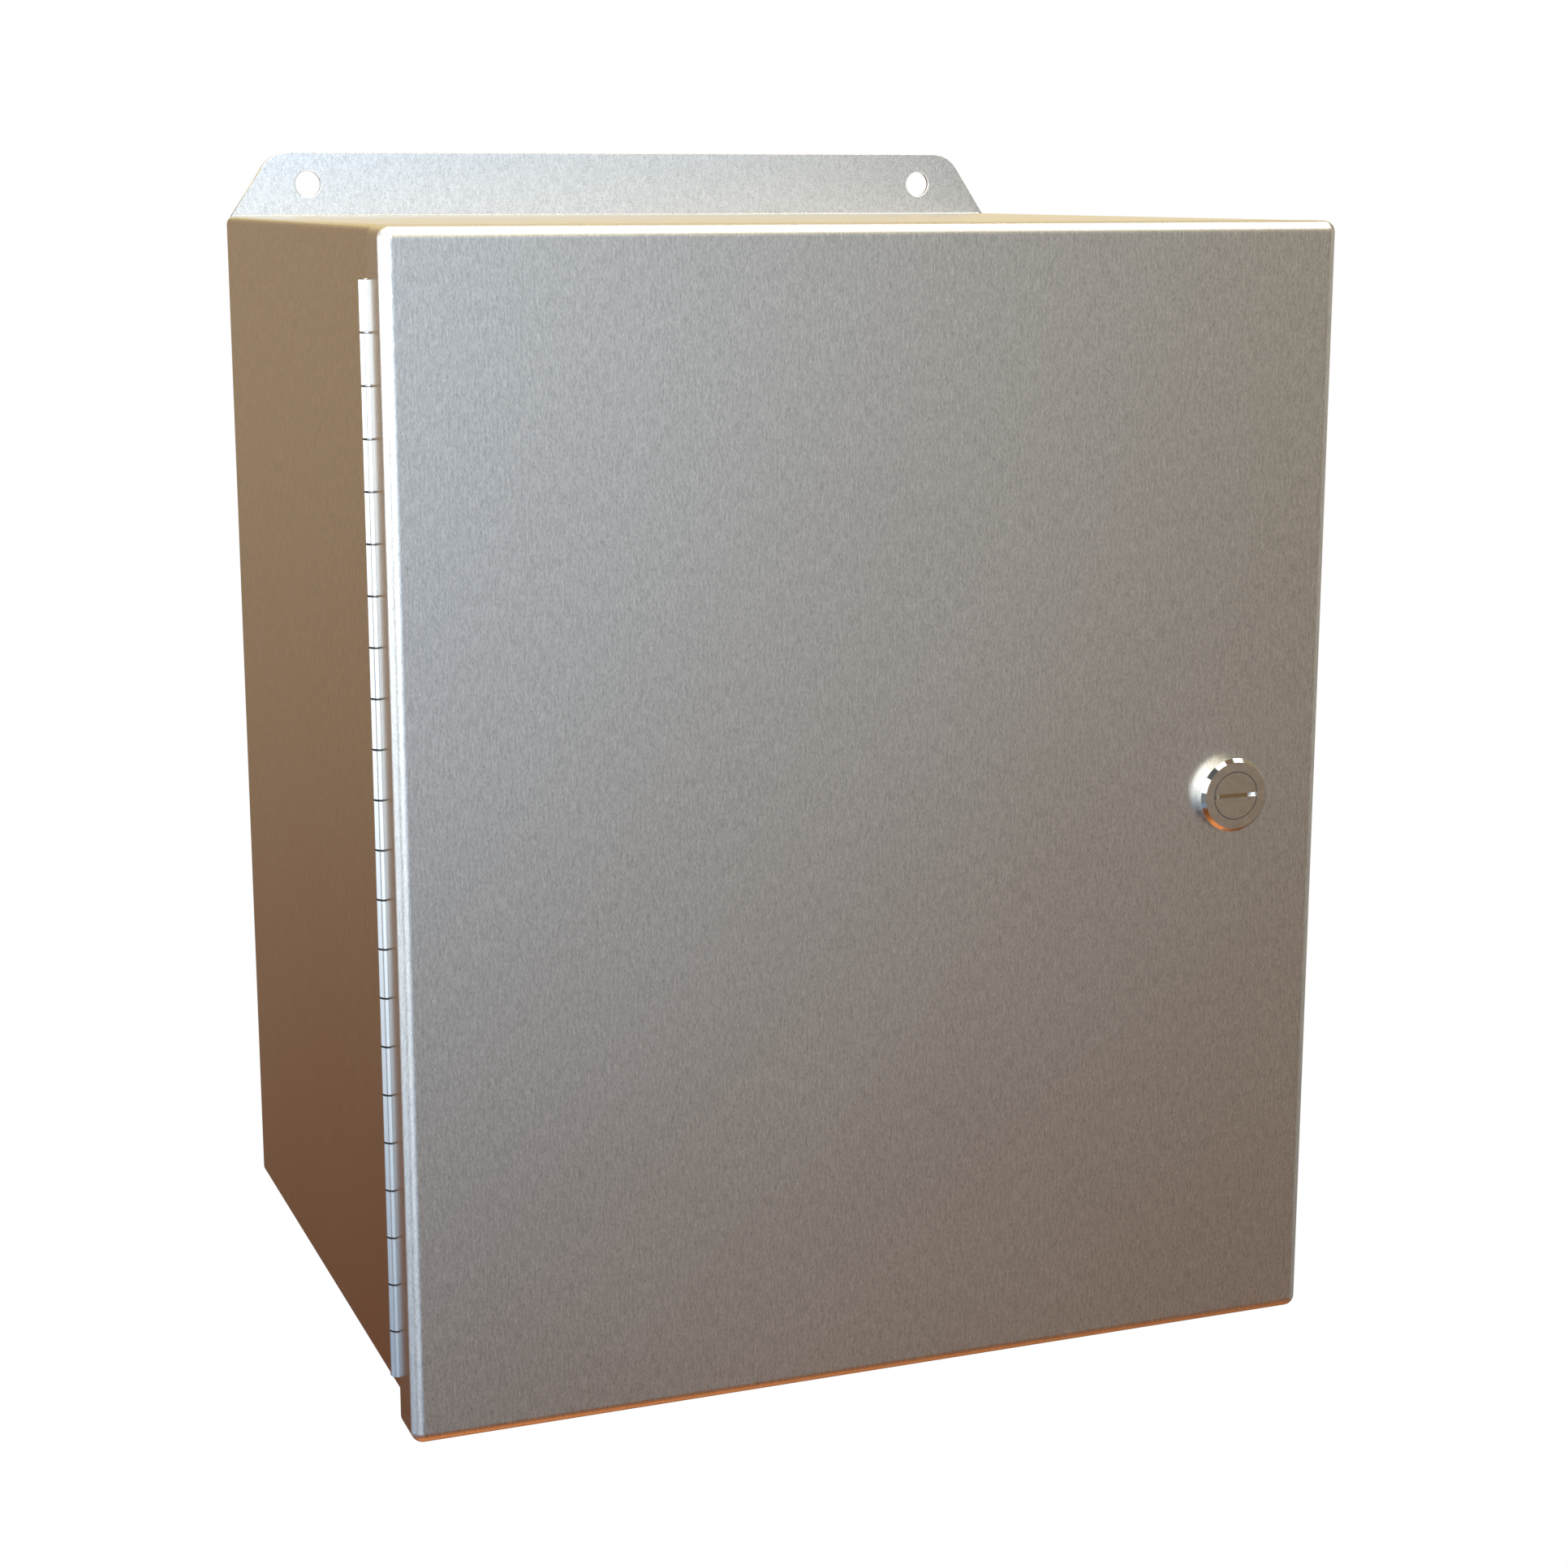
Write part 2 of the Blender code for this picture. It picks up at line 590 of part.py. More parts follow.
def make_earth_fixing(prefix, steel):
    """A welded stud with a toothed washer and a nut, made along -Y from the origin."""
    centre = (0, 0)
    bore = STUD_RADIUS + GAP
    foot_top = -STUD_FOOT_THICKNESS
    tip = -EARTH_STUD_LENGTH
    washer_near = foot_top - EARTH_LUG_SPACE
    washer_far = washer_near - WASHER_THICKNESS
    nut_near = washer_far - GAP
    profile = [
        (EARTH_FOOT_RADIUS, 0),
        (EARTH_FOOT_RADIUS, foot_top),
        (STUD_RADIUS, foot_top),
        (STUD_RADIUS, tip + STUD_CHAMFER),
        (STUD_RADIUS - STUD_CHAMFER, tip),
    ]
    return [
        turned(f"{prefix}_stud", profile, centre, False, steel),
        washer(f"{prefix}_washer", centre, washer_near, washer_far, EARTH_WASHER_RADIUS, bore, steel),
        hex_nut(f"{prefix}_nut", centre, nut_near, nut_near - NUT_THICKNESS, NUT_HALF, bore, steel),
    ]


# ---------------------------------------------------------------- assembly
def empty(name, place):
    obj = bpy.data.objects.new(name, None)
    obj.location = place
    bpy.context.collection.objects.link(obj)
    return obj


def hang_on(parent, pieces):
    """Parent pieces to an empty on their joint's axis, keeping them where they are."""
    for piece in pieces:
        piece.parent = parent
        piece.matrix_parent_inverse = Matrix.Translation(-parent.matrix_world.translation)


def build():
    clear_scene()
    brushed = material("brushed_stainless", (0.62, 0.60, 0.57), 0.35, 1.0)
    hinge_steel = material("hinge_stainless", (0.66, 0.65, 0.63), 0.28, 1.0)
    chrome = material("latch_chrome", (0.78, 0.77, 0.74), 0.08, 1.0)
    zinc = material("zinc_plate", (0.58, 0.59, 0.60), 0.32, 1.0)
    white_paint = material("white_panel_paint", (0.82, 0.82, 0.80), 0.45, 0.0)
    foam = material("black_gasket", (0.035, 0.035, 0.038), 0.85, 0.0)

    make_body(brushed)
    _body_leaf, door_leaf, _pin = make_hinge(hinge_steel)
    door = make_door(brushed)
    gasket = make_gasket(foam)
    latch_fixed, latch_turning = make_latch(chrome, zinc, foam)
    make_panel(white_paint)
    make_panel_fixings(zinc)
    floor = -HALF_HEIGHT + SHEET + GAP
    for piece in make_earth_fixing("ground", zinc):
        stand_up(piece, Vector((*GROUND_PLACE, floor)))
    bond = make_earth_fixing("door_bond", zinc)
    for piece in bond:
        piece.data.transform(Matrix.Rotation(math.radians(180), 4, "Z"))
        piece.data.transform(Matrix.Translation((BOND_PLACE[0], DOOR_INNER + GAP, BOND_PLACE[1])))

    door_axis = empty("door_hinge_axis", (HINGE_X, HINGE_Y, 0))
    latch_axis = empty("latch_axis", (LATCH_X, DOOR_FRONT, DOOR_MIDDLE))
    bpy.context.view_layer.update()
    hang_on(latch_axis, latch_turning)
    hang_on(door_axis, [door, gasket, door_leaf, *latch_fixed, *bond, latch_axis])


build()
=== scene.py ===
"""Looks of the wall-mount hinged enclosure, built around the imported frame.

Metres, in the frame's own axes: +X right and -Y out of the wall, seen from the front; +Z up.
"""

import json
import math

import bmesh
import bpy
from mathutils import Matrix, Vector


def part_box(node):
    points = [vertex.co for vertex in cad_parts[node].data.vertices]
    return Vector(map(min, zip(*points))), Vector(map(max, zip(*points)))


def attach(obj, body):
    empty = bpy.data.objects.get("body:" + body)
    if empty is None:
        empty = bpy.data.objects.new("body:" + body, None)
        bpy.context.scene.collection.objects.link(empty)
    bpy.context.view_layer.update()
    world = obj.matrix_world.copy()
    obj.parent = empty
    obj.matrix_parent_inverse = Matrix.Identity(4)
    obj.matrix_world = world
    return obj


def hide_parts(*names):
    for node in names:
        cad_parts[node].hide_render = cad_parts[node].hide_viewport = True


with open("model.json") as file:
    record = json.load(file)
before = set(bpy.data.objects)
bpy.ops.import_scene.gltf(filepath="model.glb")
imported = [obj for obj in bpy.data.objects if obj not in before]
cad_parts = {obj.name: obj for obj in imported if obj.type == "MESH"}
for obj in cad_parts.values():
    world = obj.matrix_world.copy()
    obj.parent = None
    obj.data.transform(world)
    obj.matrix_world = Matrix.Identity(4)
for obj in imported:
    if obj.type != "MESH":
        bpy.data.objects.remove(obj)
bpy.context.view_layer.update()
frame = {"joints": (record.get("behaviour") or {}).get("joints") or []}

# ---------------------------------------------------------------- dimensions
SHEET = 0.0015
BEND = 0.0025               # outside radius of the body's folds
DOOR_BEND = 0.0032
FOLD_STEPS = 10
INNER_FOLD_STEPS = 5
GAP = 0.0003                # between pieces that touch
EDGE = 0.0002               # deburred edges
SHEAR_EDGE = 0.0003         # rounded edges of the panel and the latch's cam
FLAT_ON = 0.02              # how far a normal may lean and still count as square
FACING = 0.99               # part of a normal along an axis, above which its face looks that way
IN_PLANE = 1e-5             # a point this near a plane lies in it
CLEAR = 0.0100              # how far a straight cutting tool runs past what it cuts
FLARE_PAST = 0.0004         # how far a flared one does, so that it cuts nothing else
SHARP = math.radians(35)    # edges sharper than this are shaded as edges
BEVEL_FROM = 0.7            # edges sharper than this, in radians, can be rounded

# points nearer than this are merged, and faces flatter to each other than this are joined
MERGE_NEW = 1e-7
MERGE_CUT, JOIN_CUT = 2e-6, math.radians(0.4)
MERGE_PIECE, JOIN_PIECE = 1e-6, math.radians(0.2)

# points round a turned piece or a hole
ROUND = 64
ROUND_FINE = 96
ROUND_BEZEL = 128
ROUND_NUT = 72
ROUND_STUD = 32
ROUND_PANEL_HOLE = 48

FLANGE_BASE_INSET = 0.00165
FLANGE_SLANT = 0.0127
FLANGE_CORNER = 0.0102
MOUNT_HOLE_RADIUS = 0.00395
MOUNT_HOLE_SPACING = 0.2032
FLANGE_HEIGHT = 0.01905
WELD_LEG = 0.00045          # fillet between the body and a mounting flange

LIP_INSET = 0.0090
LIP_CORNER = 0.0040
LIP_EDGE = 0.0004
GASKET_WIDTH = 0.0100
GASKET_CORNER = 0.0025

KNUCKLES = 22
KNUCKLE_PITCH = 0.0128
LEAF = 0.0010
CURL_BORE = 0.00135
CURL_REACH = 0.0030         # how far a knuckle's tail runs along its leaf
CURL_EDGE = 0.00012
CURL_SEAM_DEG = 31.0        # where the curl's outer side meets its tail again
CURL_TAIL_DEG = 76.0        # where its inner side leaves for the tail
PIN_CHAMFER = 0.0004
PIN_SIDES = 24

LATCH_HOLE_RADIUS = 0.0073
BEZEL_CHAMFER = 0.0010
HEAD_GAP = 0.00025          # round the turning head of the latch
SNUG = 0.00002              # between pieces that bear on each other
SLOT_DEPTH = 0.0011
SLOT_HALF = 0.00055
SLOT_RAMP = 0.0030          # radius of the slot's floor where it runs out at each end
BEZEL_WALL = 0.0006         # beside the seal's groove in the back of the bezel
GROOVE_DEPTH = 0.0011
BARREL_RADIUS = 0.0070
SHAFT_RADIUS = 0.0040
SHAFT_PLAY = 0.0002
SQUARE_HALF = 0.0028        # square end of the shaft, which drives the cam
STUB_RADIUS = 0.0020        # plain end behind the square, which carries the cam's washer and nut
STUB_CHAMFER = 0.0003
LATCH_NUT_HALF = 0.0090
CAM_NUT_HALF = 0.0035
CAM_WASHER_RADIUS = 0.0050

STUD_RADIUS = 0.0031
THREAD_PITCH = 0.00127
THREAD_DEPTH = 0.0005
THREAD_CHAMFER = 0.0008
THREAD_STEPS = 8            # rings to one turn of the thread
NUT_HALF = 0.0055           # across the flats, halved
NUT_BORE = STUD_RADIUS + GAP
WASHER_RADIUS = 0.0070
COLLAR_RADIUS = 0.0065      # a panel stud's foot, which is welded to the back
COLLAR_HEIGHT = 0.0012
SHANK_RADIUS = 0.0048       # from the foot to the panel
PANEL_CORNER = 0.0040
PANEL_HOLE_CLEARANCE = 0.0008

EARTH_FOOT_RADIUS = 0.0050
EARTH_FOOT_HEIGHT = 0.0012
EARTH_LENGTH = 0.0150
EARTH_WASHER = (-0.0032, -0.0044)   # near and far Y, from the stud's foot
EARTH_NUT = (-0.0047, -0.0102)
LOCK_WASHER_RADIUS = 0.0062
LOCK_WASHER_TEETH = 12

BODY_LOW, BODY_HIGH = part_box("body_shell")
DOOR_LOW, DOOR_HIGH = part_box("door_pan")
HALF_WIDTH = BODY_HIGH.x
HALF_HEIGHT = BODY_HIGH.z - FLANGE_HEIGHT
LIP_FRONT = BODY_LOW.y
BODY_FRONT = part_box("hinge_body_leaf")[0].y + LEAF + GAP
JOINTS = {joint["name"]: joint for joint in frame["joints"]}
HINGE = Vector(JOINTS["door_hinge"]["pos_m"])
LATCH = Vector(JOINTS["latch_turn"]["pos_m"])
LATCH_CENTRE = (LATCH.x, LATCH.z)


# ---------------------------------------------------------------- shape tools
def to_object(name, bm):
    """A bmesh as a named object with consistent outward faces."""
    bmesh.ops.remove_doubles(bm, verts=bm.verts, dist=MERGE_NEW)
    bmesh.ops.recalc_face_normals(bm, faces=bm.faces)
    mesh = bpy.data.meshes.new(name)
    bm.to_mesh(mesh)
    bm.free()
    mesh.shade_smooth()
    mesh.set_sharp_from_angle(angle=SHARP)
    obj = bpy.data.objects.new(name, mesh)
    bpy.context.collection.objects.link(obj)
    return obj


def applied(obj):
    """Apply the object's modifiers."""
    depsgraph = bpy.context.evaluated_depsgraph_get()
    mesh = bpy.data.meshes.new_from_object(obj.evaluated_get(depsgraph))
    obj.modifiers.clear()
    old = obj.data
    obj.data = mesh
    bpy.data.meshes.remove(old)
    mesh.name = obj.name


def boolean(target, tool, operation="DIFFERENCE"):
    modifier = target.modifiers.new("Cut", "BOOLEAN")
    modifier.object = tool
    modifier.operation = operation
    modifier.solver = "EXACT"
    applied(target)
    bpy.data.objects.remove(tool, do_unlink=True)


def bevel_where(obj, chosen, width, segments):
    """Round the edges whose two end points both satisfy chosen()."""
    bm = bmesh.new()
    bm.from_mesh(obj.data)
    bmesh.ops.remove_doubles(bm, verts=bm.verts, dist=MERGE_CUT)
    bmesh.ops.dissolve_limit(bm, angle_limit=JOIN_CUT, verts=bm.verts, edges=bm.edges)
    edges = [e for e in bm.edges if all(chosen(v.co) for v in e.verts) and e.calc_face_angle(0) > BEVEL_FROM]
    bmesh.ops.bevel(bm, geom=edges, offset=width, segments=segments, profile=0.5, affect="EDGES")
    bm.to_mesh(obj.data)
    bm.free()


def piece(obj, mat, body, replaces=()):
    """Clean up, shade and register a finished piece."""
    bm = bmesh.new()
    bm.from_mesh(obj.data)
    bmesh.ops.remove_doubles(bm, verts=bm.verts, dist=MERGE_PIECE)
    bmesh.ops.dissolve_limit(bm, angle_limit=JOIN_PIECE, verts=bm.verts, edges=bm.edges)
    wide = [f for f in bm.faces if len(f.verts) > 4]
    bmesh.ops.triangulate(bm, faces=wide, ngon_method="EAR_CLIP")
    bmesh.ops.recalc_face_normals(bm, faces=bm.faces)
    bm.to_mesh(obj.data)
    bm.free()
    obj.data.shade_smooth()
    obj.data.set_sharp_from_angle(angle=SHARP)
    normals = obj.modifiers.new("Normals", "WEIGHTED_NORMAL")
    normals.keep_sharp = True
    normals.weight = 100
    applied(obj)
    obj.data.materials.clear()
    obj.data.materials.append(mat)
    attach(obj, body)
    if replaces:
        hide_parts(*replaces)


def second_finish(obj, mat, chosen):
    """Give the faces that satisfy chosen() another finish of the same stock."""
    obj.data.materials.append(mat)
    for face in obj.data.polygons:
        if chosen(face):
            face.material_index = 1


def box(name, low, high, radius=0.0, chosen=None, segments=FOLD_STEPS):
    low, high = Vector(low), Vector(high)
    bm = bmesh.new()
    bmesh.ops.create_cube(bm, size=1.0)
    for vert in bm.verts:
        vert.co = [low[i] if vert.co[i] < 0 else high[i] for i in range(3)]
    if radius:
        edges = [e for e in bm.edges if chosen is None or chosen(e.verts[0].co, e.verts[1].co)]
        bmesh.ops.bevel(bm, geom=edges, offset=radius, segments=segments, profile=0.5, affect="EDGES")
    return to_object(name, bm)


def arc(cx, cz, radius, start_deg, end_deg, steps):
    """Points on an arc, both ends included."""
    points = []
    for step in range(steps + 1):
        angle = math.radians(start_deg + (end_deg - start_deg) * step / steps)
        points.append((cx + radius * math.cos(angle), cz + radius * math.sin(angle)))
    return points


def rounded_rectangle(half_width, low_z, high_z, radius, steps=8):
    x = half_width - radius
    return (
        arc(x, high_z - radius, radius, 0, 90, steps)
        + arc(-x, high_z - radius, radius, 90, 180, steps)
        + arc(-x, low_z + radius, radius, 180, 270, steps)
        + arc(x, low_z + radius, radius, 270, 360, steps)
    )


def extrusion(name, outline, place, near, far):
    """An outline made solid between two planes; place(u, v, w) gives the point at height w."""
    bm = bmesh.new()
    rows = [[bm.verts.new(place(u, v, w)) for u, v in outline] for w in (near, far)]
    count = len(outline)
    for i in range(count):
        j = (i + 1) % count
        bm.faces.new((rows[0][i], rows[0][j], rows[1][j], rows[1][i]))
    bm.faces.new(rows[0])
    bm.faces.new(rows[1])
    return to_object(name, bm)


def on_wall(x, z, y):
    return (x, y, z)


def upright(x, y, z):
    return (x, y, z)


def ring_loft(name, rings, closed):
    """Bridge rings of equal point counts; closed joins last ring to first, else both ends are capped."""
    bm = bmesh.new()
    rows = [[bm.verts.new(point) for point in ring] for ring in rings]
    pairs = list(zip(rows, rows[1:]))
    if closed:
        pairs.append((rows[-1], rows[0]))
    for first, second in pairs:
        count = len(first)
        for i in range(count):
            j = (i + 1) % count
            bm.faces.new((first[i], first[j], second[j], second[i]))
    if not closed:
        bm.faces.new(rows[0])
        bm.faces.new(rows[-1])
    return to_object(name, bm)


def ring(y, centre, count, radius_at):
    """Ring of points round an axis along Y; radius_at(angle) gives its outline."""
    points = []
    for i in range(count):
        angle = 2 * math.pi * i / count
        radius = radius_at(angle)
        points.append((centre[0] + radius * math.cos(angle), y, centre[1] + radius * math.sin(angle)))
    return points


def round_ring(y, centre, count, radius):
    return ring(y, centre, count, lambda _angle: radius)


def turned(name, profile, centre, closed, count=ROUND):
    """A piece turned round an axis along Y, from (radius, y) points."""
    return ring_loft(name, [round_ring(y, centre, count, radius) for radius, y in profile], closed)


def flat_sided(apothem, sides, turn=0.0):
    """Outline of a regular polygon as a function of the angle."""
    sector = 2 * math.pi / sides
    return lambda angle: apothem / math.cos((angle - turn + sector / 2) % sector - sector / 2)


# ---------------------------------------------------------------- node graphs
class Graph:
    """Short ways to wire shader nodes; an argument may be a number, a colour or a socket."""

    def __init__(self, tree):
        self.tree = tree
        tree.nodes.clear()

    def node(self, kind, **settings):
        made = self.tree.nodes.new(kind)
        for key, value in settings.items():
            setattr(made, key, value)
        return made

    def feed(self, socket, value):
        if isinstance(value, bpy.types.NodeSocket):
            self.tree.links.new(value, socket)
        elif socket.type == "RGBA" and len(value) == 3:
            socket.default_value = (*value, 1.0)
        else:
            socket.default_value = value

    def math(self, operation, first, second=0.0):
        made = self.node("ShaderNodeMath", operation=operation)
        self.feed(made.inputs[0], first)
        self.feed(made.inputs[1], second)
        return made.outputs[0]

    def ramp(self, value, low, high, out_low=0.0, out_high=1.0, smooth=True):
        """Map value from low..high to out_low..out_high, held at the ends."""
        made = self.node("ShaderNodeMapRange", interpolation_type="SMOOTHSTEP" if smooth else "LINEAR")
        made.clamp = True
        for index, entry in enumerate((value, low, high, out_low, out_high)):
            self.feed(made.inputs[index], entry)
        return made.outputs[0]

    def mix(self, factor, first, second):
        made = self.node("ShaderNodeMix", data_type="RGBA")
        self.feed(made.inputs[0], factor)
        self.feed(made.inputs[6], first)
        self.feed(made.inputs[7], second)
        return made.outputs[2]

    def noise(self, vector, scale, detail, roughness):
        made = self.node("ShaderNodeTexNoise")
        self.feed(made.inputs["Vector"], vector)
        made.inputs["Scale"].default_value = scale
        made.inputs["Detail"].default_value = detail
        made.inputs["Roughness"].default_value = roughness
        return made.outputs["Fac"]

    def stretched(self, vector, scale):
        made = self.node("ShaderNodeMapping")
        self.feed(made.inputs["Vector"], vector)
        made.inputs["Scale"].default_value = scale
        return made.outputs["Vector"]


def new_material(name):
    mat = bpy.data.materials.new(name)
    mat.use_nodes = True
    graph = Graph(mat.node_tree)
    shader = graph.node("ShaderNodeBsdfPrincipled")
    output = graph.node("ShaderNodeOutputMaterial")
    graph.tree.links.new(shader.outputs["BSDF"], output.inputs["Surface"])
    coords = graph.node("ShaderNodeTexCoord").outputs["Object"]
    return mat, graph, shader, coords


def bump(graph, shader, height, strength, distance):
    made = graph.node("ShaderNodeBump")
    made.inputs["Strength"].default_value = strength
    made.inputs["Distance"].default_value = distance
    graph.feed(made.inputs["Height"], height)
    graph.tree.links.new(made.outputs["Normal"], shader.inputs["Normal"])


def brushed_steel(name, colour, roughness, fine_scale, long_scale, grain, relief):
    """Steel with two layers of grain, fine and long; their scales are per metre in x, y and z."""
    mat, graph, shader, coords = new_material(name)
    fine = graph.noise(graph.stretched(coords, fine_scale), 1.0, 3.0, 0.65)
    long = graph.noise(graph.stretched(coords, long_scale), 1.0, 2.0, 0.5)
    smudge = graph.noise(coords, 14.0, 3.0, 0.55)
    streak = graph.math("ADD", graph.math("MULTIPLY", fine, 0.7), graph.math("MULTIPLY", long, 0.3))
    shade = graph.ramp(streak, 0.25, 0.75, smooth=False)
    dark, light = (tuple(c * (1 + sign * grain) for c in colour) for sign in (-1, 1))
    graph.feed(shader.inputs["Base Color"], graph.mix(shade, dark, light))
    shader.inputs["Metallic"].default_value = 1.0
    rough = graph.math("ADD", graph.ramp(streak, 0.2, 0.8, roughness - 0.02, roughness + 0.02),
                       graph.ramp(smudge, 0.3, 0.75, -0.005, 0.006))
    graph.feed(shader.inputs["Roughness"], rough)
    bump(graph, shader, streak, relief, 0.00004)
    return mat


def bright_metal(name, colour, roughness, mark_scale, relief):
    """Turned or plated metal with fine tool marks and slight clouding."""
    mat, graph, shader, coords = new_material(name)
    cloud = graph.noise(coords, 420.0, 3.0, 0.6)
    marks = graph.noise(coords, mark_scale, 4.0, 0.7)
    dark = tuple(0.86 * c for c in colour)
    graph.feed(shader.inputs["Base Color"], graph.mix(graph.ramp(cloud, 0.3, 0.7), dark, colour))
    shader.inputs["Metallic"].default_value = 1.0
    graph.feed(shader.inputs["Roughness"], graph.ramp(marks, 0.25, 0.8, roughness * 0.75, roughness * 1.35))
    bump(graph, shader, marks, relief, 0.00003)
    return mat


def painted(name, colour):
    """Powder coat: orange-peel relief and faint dusting."""
    mat, graph, shader, coords = new_material(name)
    peel = graph.noise(coords, 900.0, 2.0, 0.4)
    dust = graph.noise(coords, 45.0, 4.0, 0.6)
    dull = tuple(0.93 * c for c in colour)
    graph.feed(shader.inputs["Base Color"], graph.mix(graph.ramp(dust, 0.35, 0.7), colour, dull))
    graph.feed(shader.inputs["Roughness"], graph.ramp(dust, 0.3, 0.7, 0.36, 0.48))
    bump(graph, shader, peel, 0.35, 0.0003)
    return mat


def foam(name, colour):
    """Closed-cell foam: fine cells over a matt black skin."""
    mat, graph, shader, coords = new_material(name)
    cells = graph.node("ShaderNodeTexVoronoi", feature="F1")
    graph.feed(cells.inputs["Vector"], coords)
    cells.inputs["Scale"].default_value = 2400.0
    patch = graph.noise(coords, 160.0, 3.0, 0.6)
    light = tuple(1.7 * c for c in colour)
    graph.feed(shader.inputs["Base Color"], graph.mix(graph.ramp(patch, 0.3, 0.75), colour, light))
    graph.feed(shader.inputs["Roughness"], graph.ramp(patch, 0.2, 0.8, 0.78, 0.95))
    bump(graph, shader, cells.outputs["Distance"], 0.5, 0.0002)
    return mat


STEEL = (0.640, 0.622, 0.590)
VERTICAL_FINE = (5200.0, 5200.0, 1100.0)
VERTICAL_LONG = (1700.0, 1700.0, 260.0)
EVEN_FINE = (4200.0, 4200.0, 3000.0)
STEEL_DOOR = brushed_steel("brushed_steel_door", STEEL, 0.30, VERTICAL_FINE, VERTICAL_LONG, 0.42, 0.9)
STEEL_BODY = brushed_steel("brushed_steel_body", STEEL, 0.20, EVEN_FINE, VERTICAL_LONG, 0.45, 0.05)
STEEL_RETURN = brushed_steel("brushed_steel_door_returns", STEEL, 0.23, EVEN_FINE, VERTICAL_LONG, 0.30, 0.05)
STEEL_TOP = brushed_steel("brushed_steel_ends", STEEL, 0.36, EVEN_FINE, VERTICAL_LONG, 0.12, 0.05)
STEEL_FLANGE = brushed_steel("mill_finish_flange", (0.86, 0.86, 0.855), 0.28, (3600.0, 3600.0, 2200.0),
                             (1700.0, 1700.0, 700.0), 0.40, 0.55)
CUT_EDGE = bright_metal("sheared_steel_edge", (0.40, 0.36, 0.31), 0.34, 3200.0, 0.2)
STEEL_HINGE = brushed_steel("brushed_steel_hinge", (0.70, 0.69, 0.67), 0.20, (2600, 2600, 2600),
                            (900, 900, 300), 0.05, 0.08)
# knuckle ends nearly black: oil on them, and painted shade standing in for the shadow in the gaps between
# knuckles
KNUCKLE_END_OIL_AND_SHADE = bright_metal("knuckle_ends_oil_and_painted_shade", (0.07, 0.075, 0.08), 0.40, 3200.0, 0.1)
CHROME = bright_metal("latch_chrome_metal", (0.72, 0.70, 0.66), 0.07, 5200.0, 0.05)
SATIN = bright_metal("latch_face_metal", (0.76, 0.745, 0.71), 0.24, 5200.0, 0.08)
ZINC = bright_metal("zinc_plated_steel", (0.62, 0.62, 0.60), 0.30, 2600.0, 0.18)
PAINT = painted("white_powder_coat", (0.80, 0.80, 0.775))
FOAM = foam("black_foam", (0.030, 0.030, 0.033))


# ---------------------------------------------------------------- body
def flange_outline(direction):
    """Outline of a mounting flange, from inside the back sheet out past the body's edge."""
    tip = HALF_HEIGHT + FLANGE_HEIGHT
    base_x = HALF_WIDTH - FLANGE_BASE_INSET
    slant = math.atan2(FLANGE_HEIGHT, FLANGE_SLANT)
    centre_x = base_x - FLANGE_SLANT - FLANGE_CORNER * math.tan(slant / 2)
    corner = arc(centre_x, tip - FLANGE_CORNER, FLANGE_CORNER, 90 - math.degrees(slant), 90, 16)
    right = [(base_x, HALF_HEIGHT - 2 * BEND), (base_x, HALF_HEIGHT)] + corner
    left = [(-x, z) for x, z in reversed(right)]
    return [(x, direction * z) for x, z in right + left]


def mount_hole(x, z):
    """Cutter for a mounting hole; it flares only just past the sheet, so it stays clear of the body."""
    flare = MOUNT_HOLE_RADIUS + EDGE + FLARE_PAST
    profile = [
        (flare, -SHEET - FLARE_PAST),
        (MOUNT_HOLE_RADIUS, -SHEET + EDGE),
        (MOUNT_HOLE_RADIUS, -EDGE),
        (flare, FLARE_PAST),
    ]
    return turned("hole", profile, (x, z), False)


def make_body():
    low, high = (-HALF_WIDTH, BODY_FRONT, -HALF_HEIGHT), (HALF_WIDTH, 0, HALF_HEIGHT)
    shell = box("enclosure_shell", low, high, BEND)
    cavity = box(
        "cavity",
        (-HALF_WIDTH + SHEET, BODY_FRONT + SHEET, -HALF_HEIGHT + SHEET),
        (HALF_WIDTH - SHEET, -SHEET, HALF_HEIGHT - SHEET),
        BEND - SHEET,
        segments=INNER_FOLD_STEPS,
    )
    boolean(shell, cavity)
    half_x, half_z = HALF_WIDTH - LIP_INSET, HALF_HEIGHT - LIP_INSET
    outer = rounded_rectangle(half_x, -half_z, half_z, LIP_CORNER)
    boolean(shell, extrusion("lip", outer, on_wall, LIP_FRONT, BODY_FRONT + SHEET / 2), "UNION")
    inner = rounded_rectangle(half_x - SHEET, -half_z + SHEET, half_z - SHEET, LIP_CORNER - SHEET)
    boolean(shell, extrusion("opening", inner, on_wall, LIP_FRONT - CLEAR, BODY_FRONT + CLEAR))
    bevel_where(shell, lambda co: co.y < LIP_FRONT + IN_PLANE, LIP_EDGE, 3)
    for direction in (1, -1):
        flange = extrusion("flange", flange_outline(direction), on_wall, -SHEET, 0)
        edge = HALF_HEIGHT + 2 * EDGE
        bevel_where(flange, lambda co: abs(co.z) > edge, EDGE, 2)
        boolean(shell, flange, "UNION")
        for side in (-1, 1):
            x = side * MOUNT_HOLE_SPACING / 2
            boolean(shell, mount_hole(x, direction * (HALF_HEIGHT + FLANGE_HEIGHT / 2)))
    piece(shell, STEEL_BODY, "enclosure", ["body_shell"])
    flange_finishes(shell)


def flange_finishes(shell):
    """The shell's other finishes: the back sheet with its flanges, their cut edges, and the body's ends."""
    for mat in (STEEL_FLANGE, CUT_EDGE, STEEL_TOP):
        shell.data.materials.append(mat)
    for face in shell.data.polygons:
        if abs(face.center.z) > HALF_HEIGHT + GAP:
            face.material_index = 2 if abs(face.normal.y) < FLAT_ON else 1
        elif face.normal.y > FACING and face.center.y > -SNUG:
            face.material_index = 1
        elif abs(face.center.z) > HALF_HEIGHT - SNUG and abs(face.normal.z) > FACING:
            face.material_index = 3


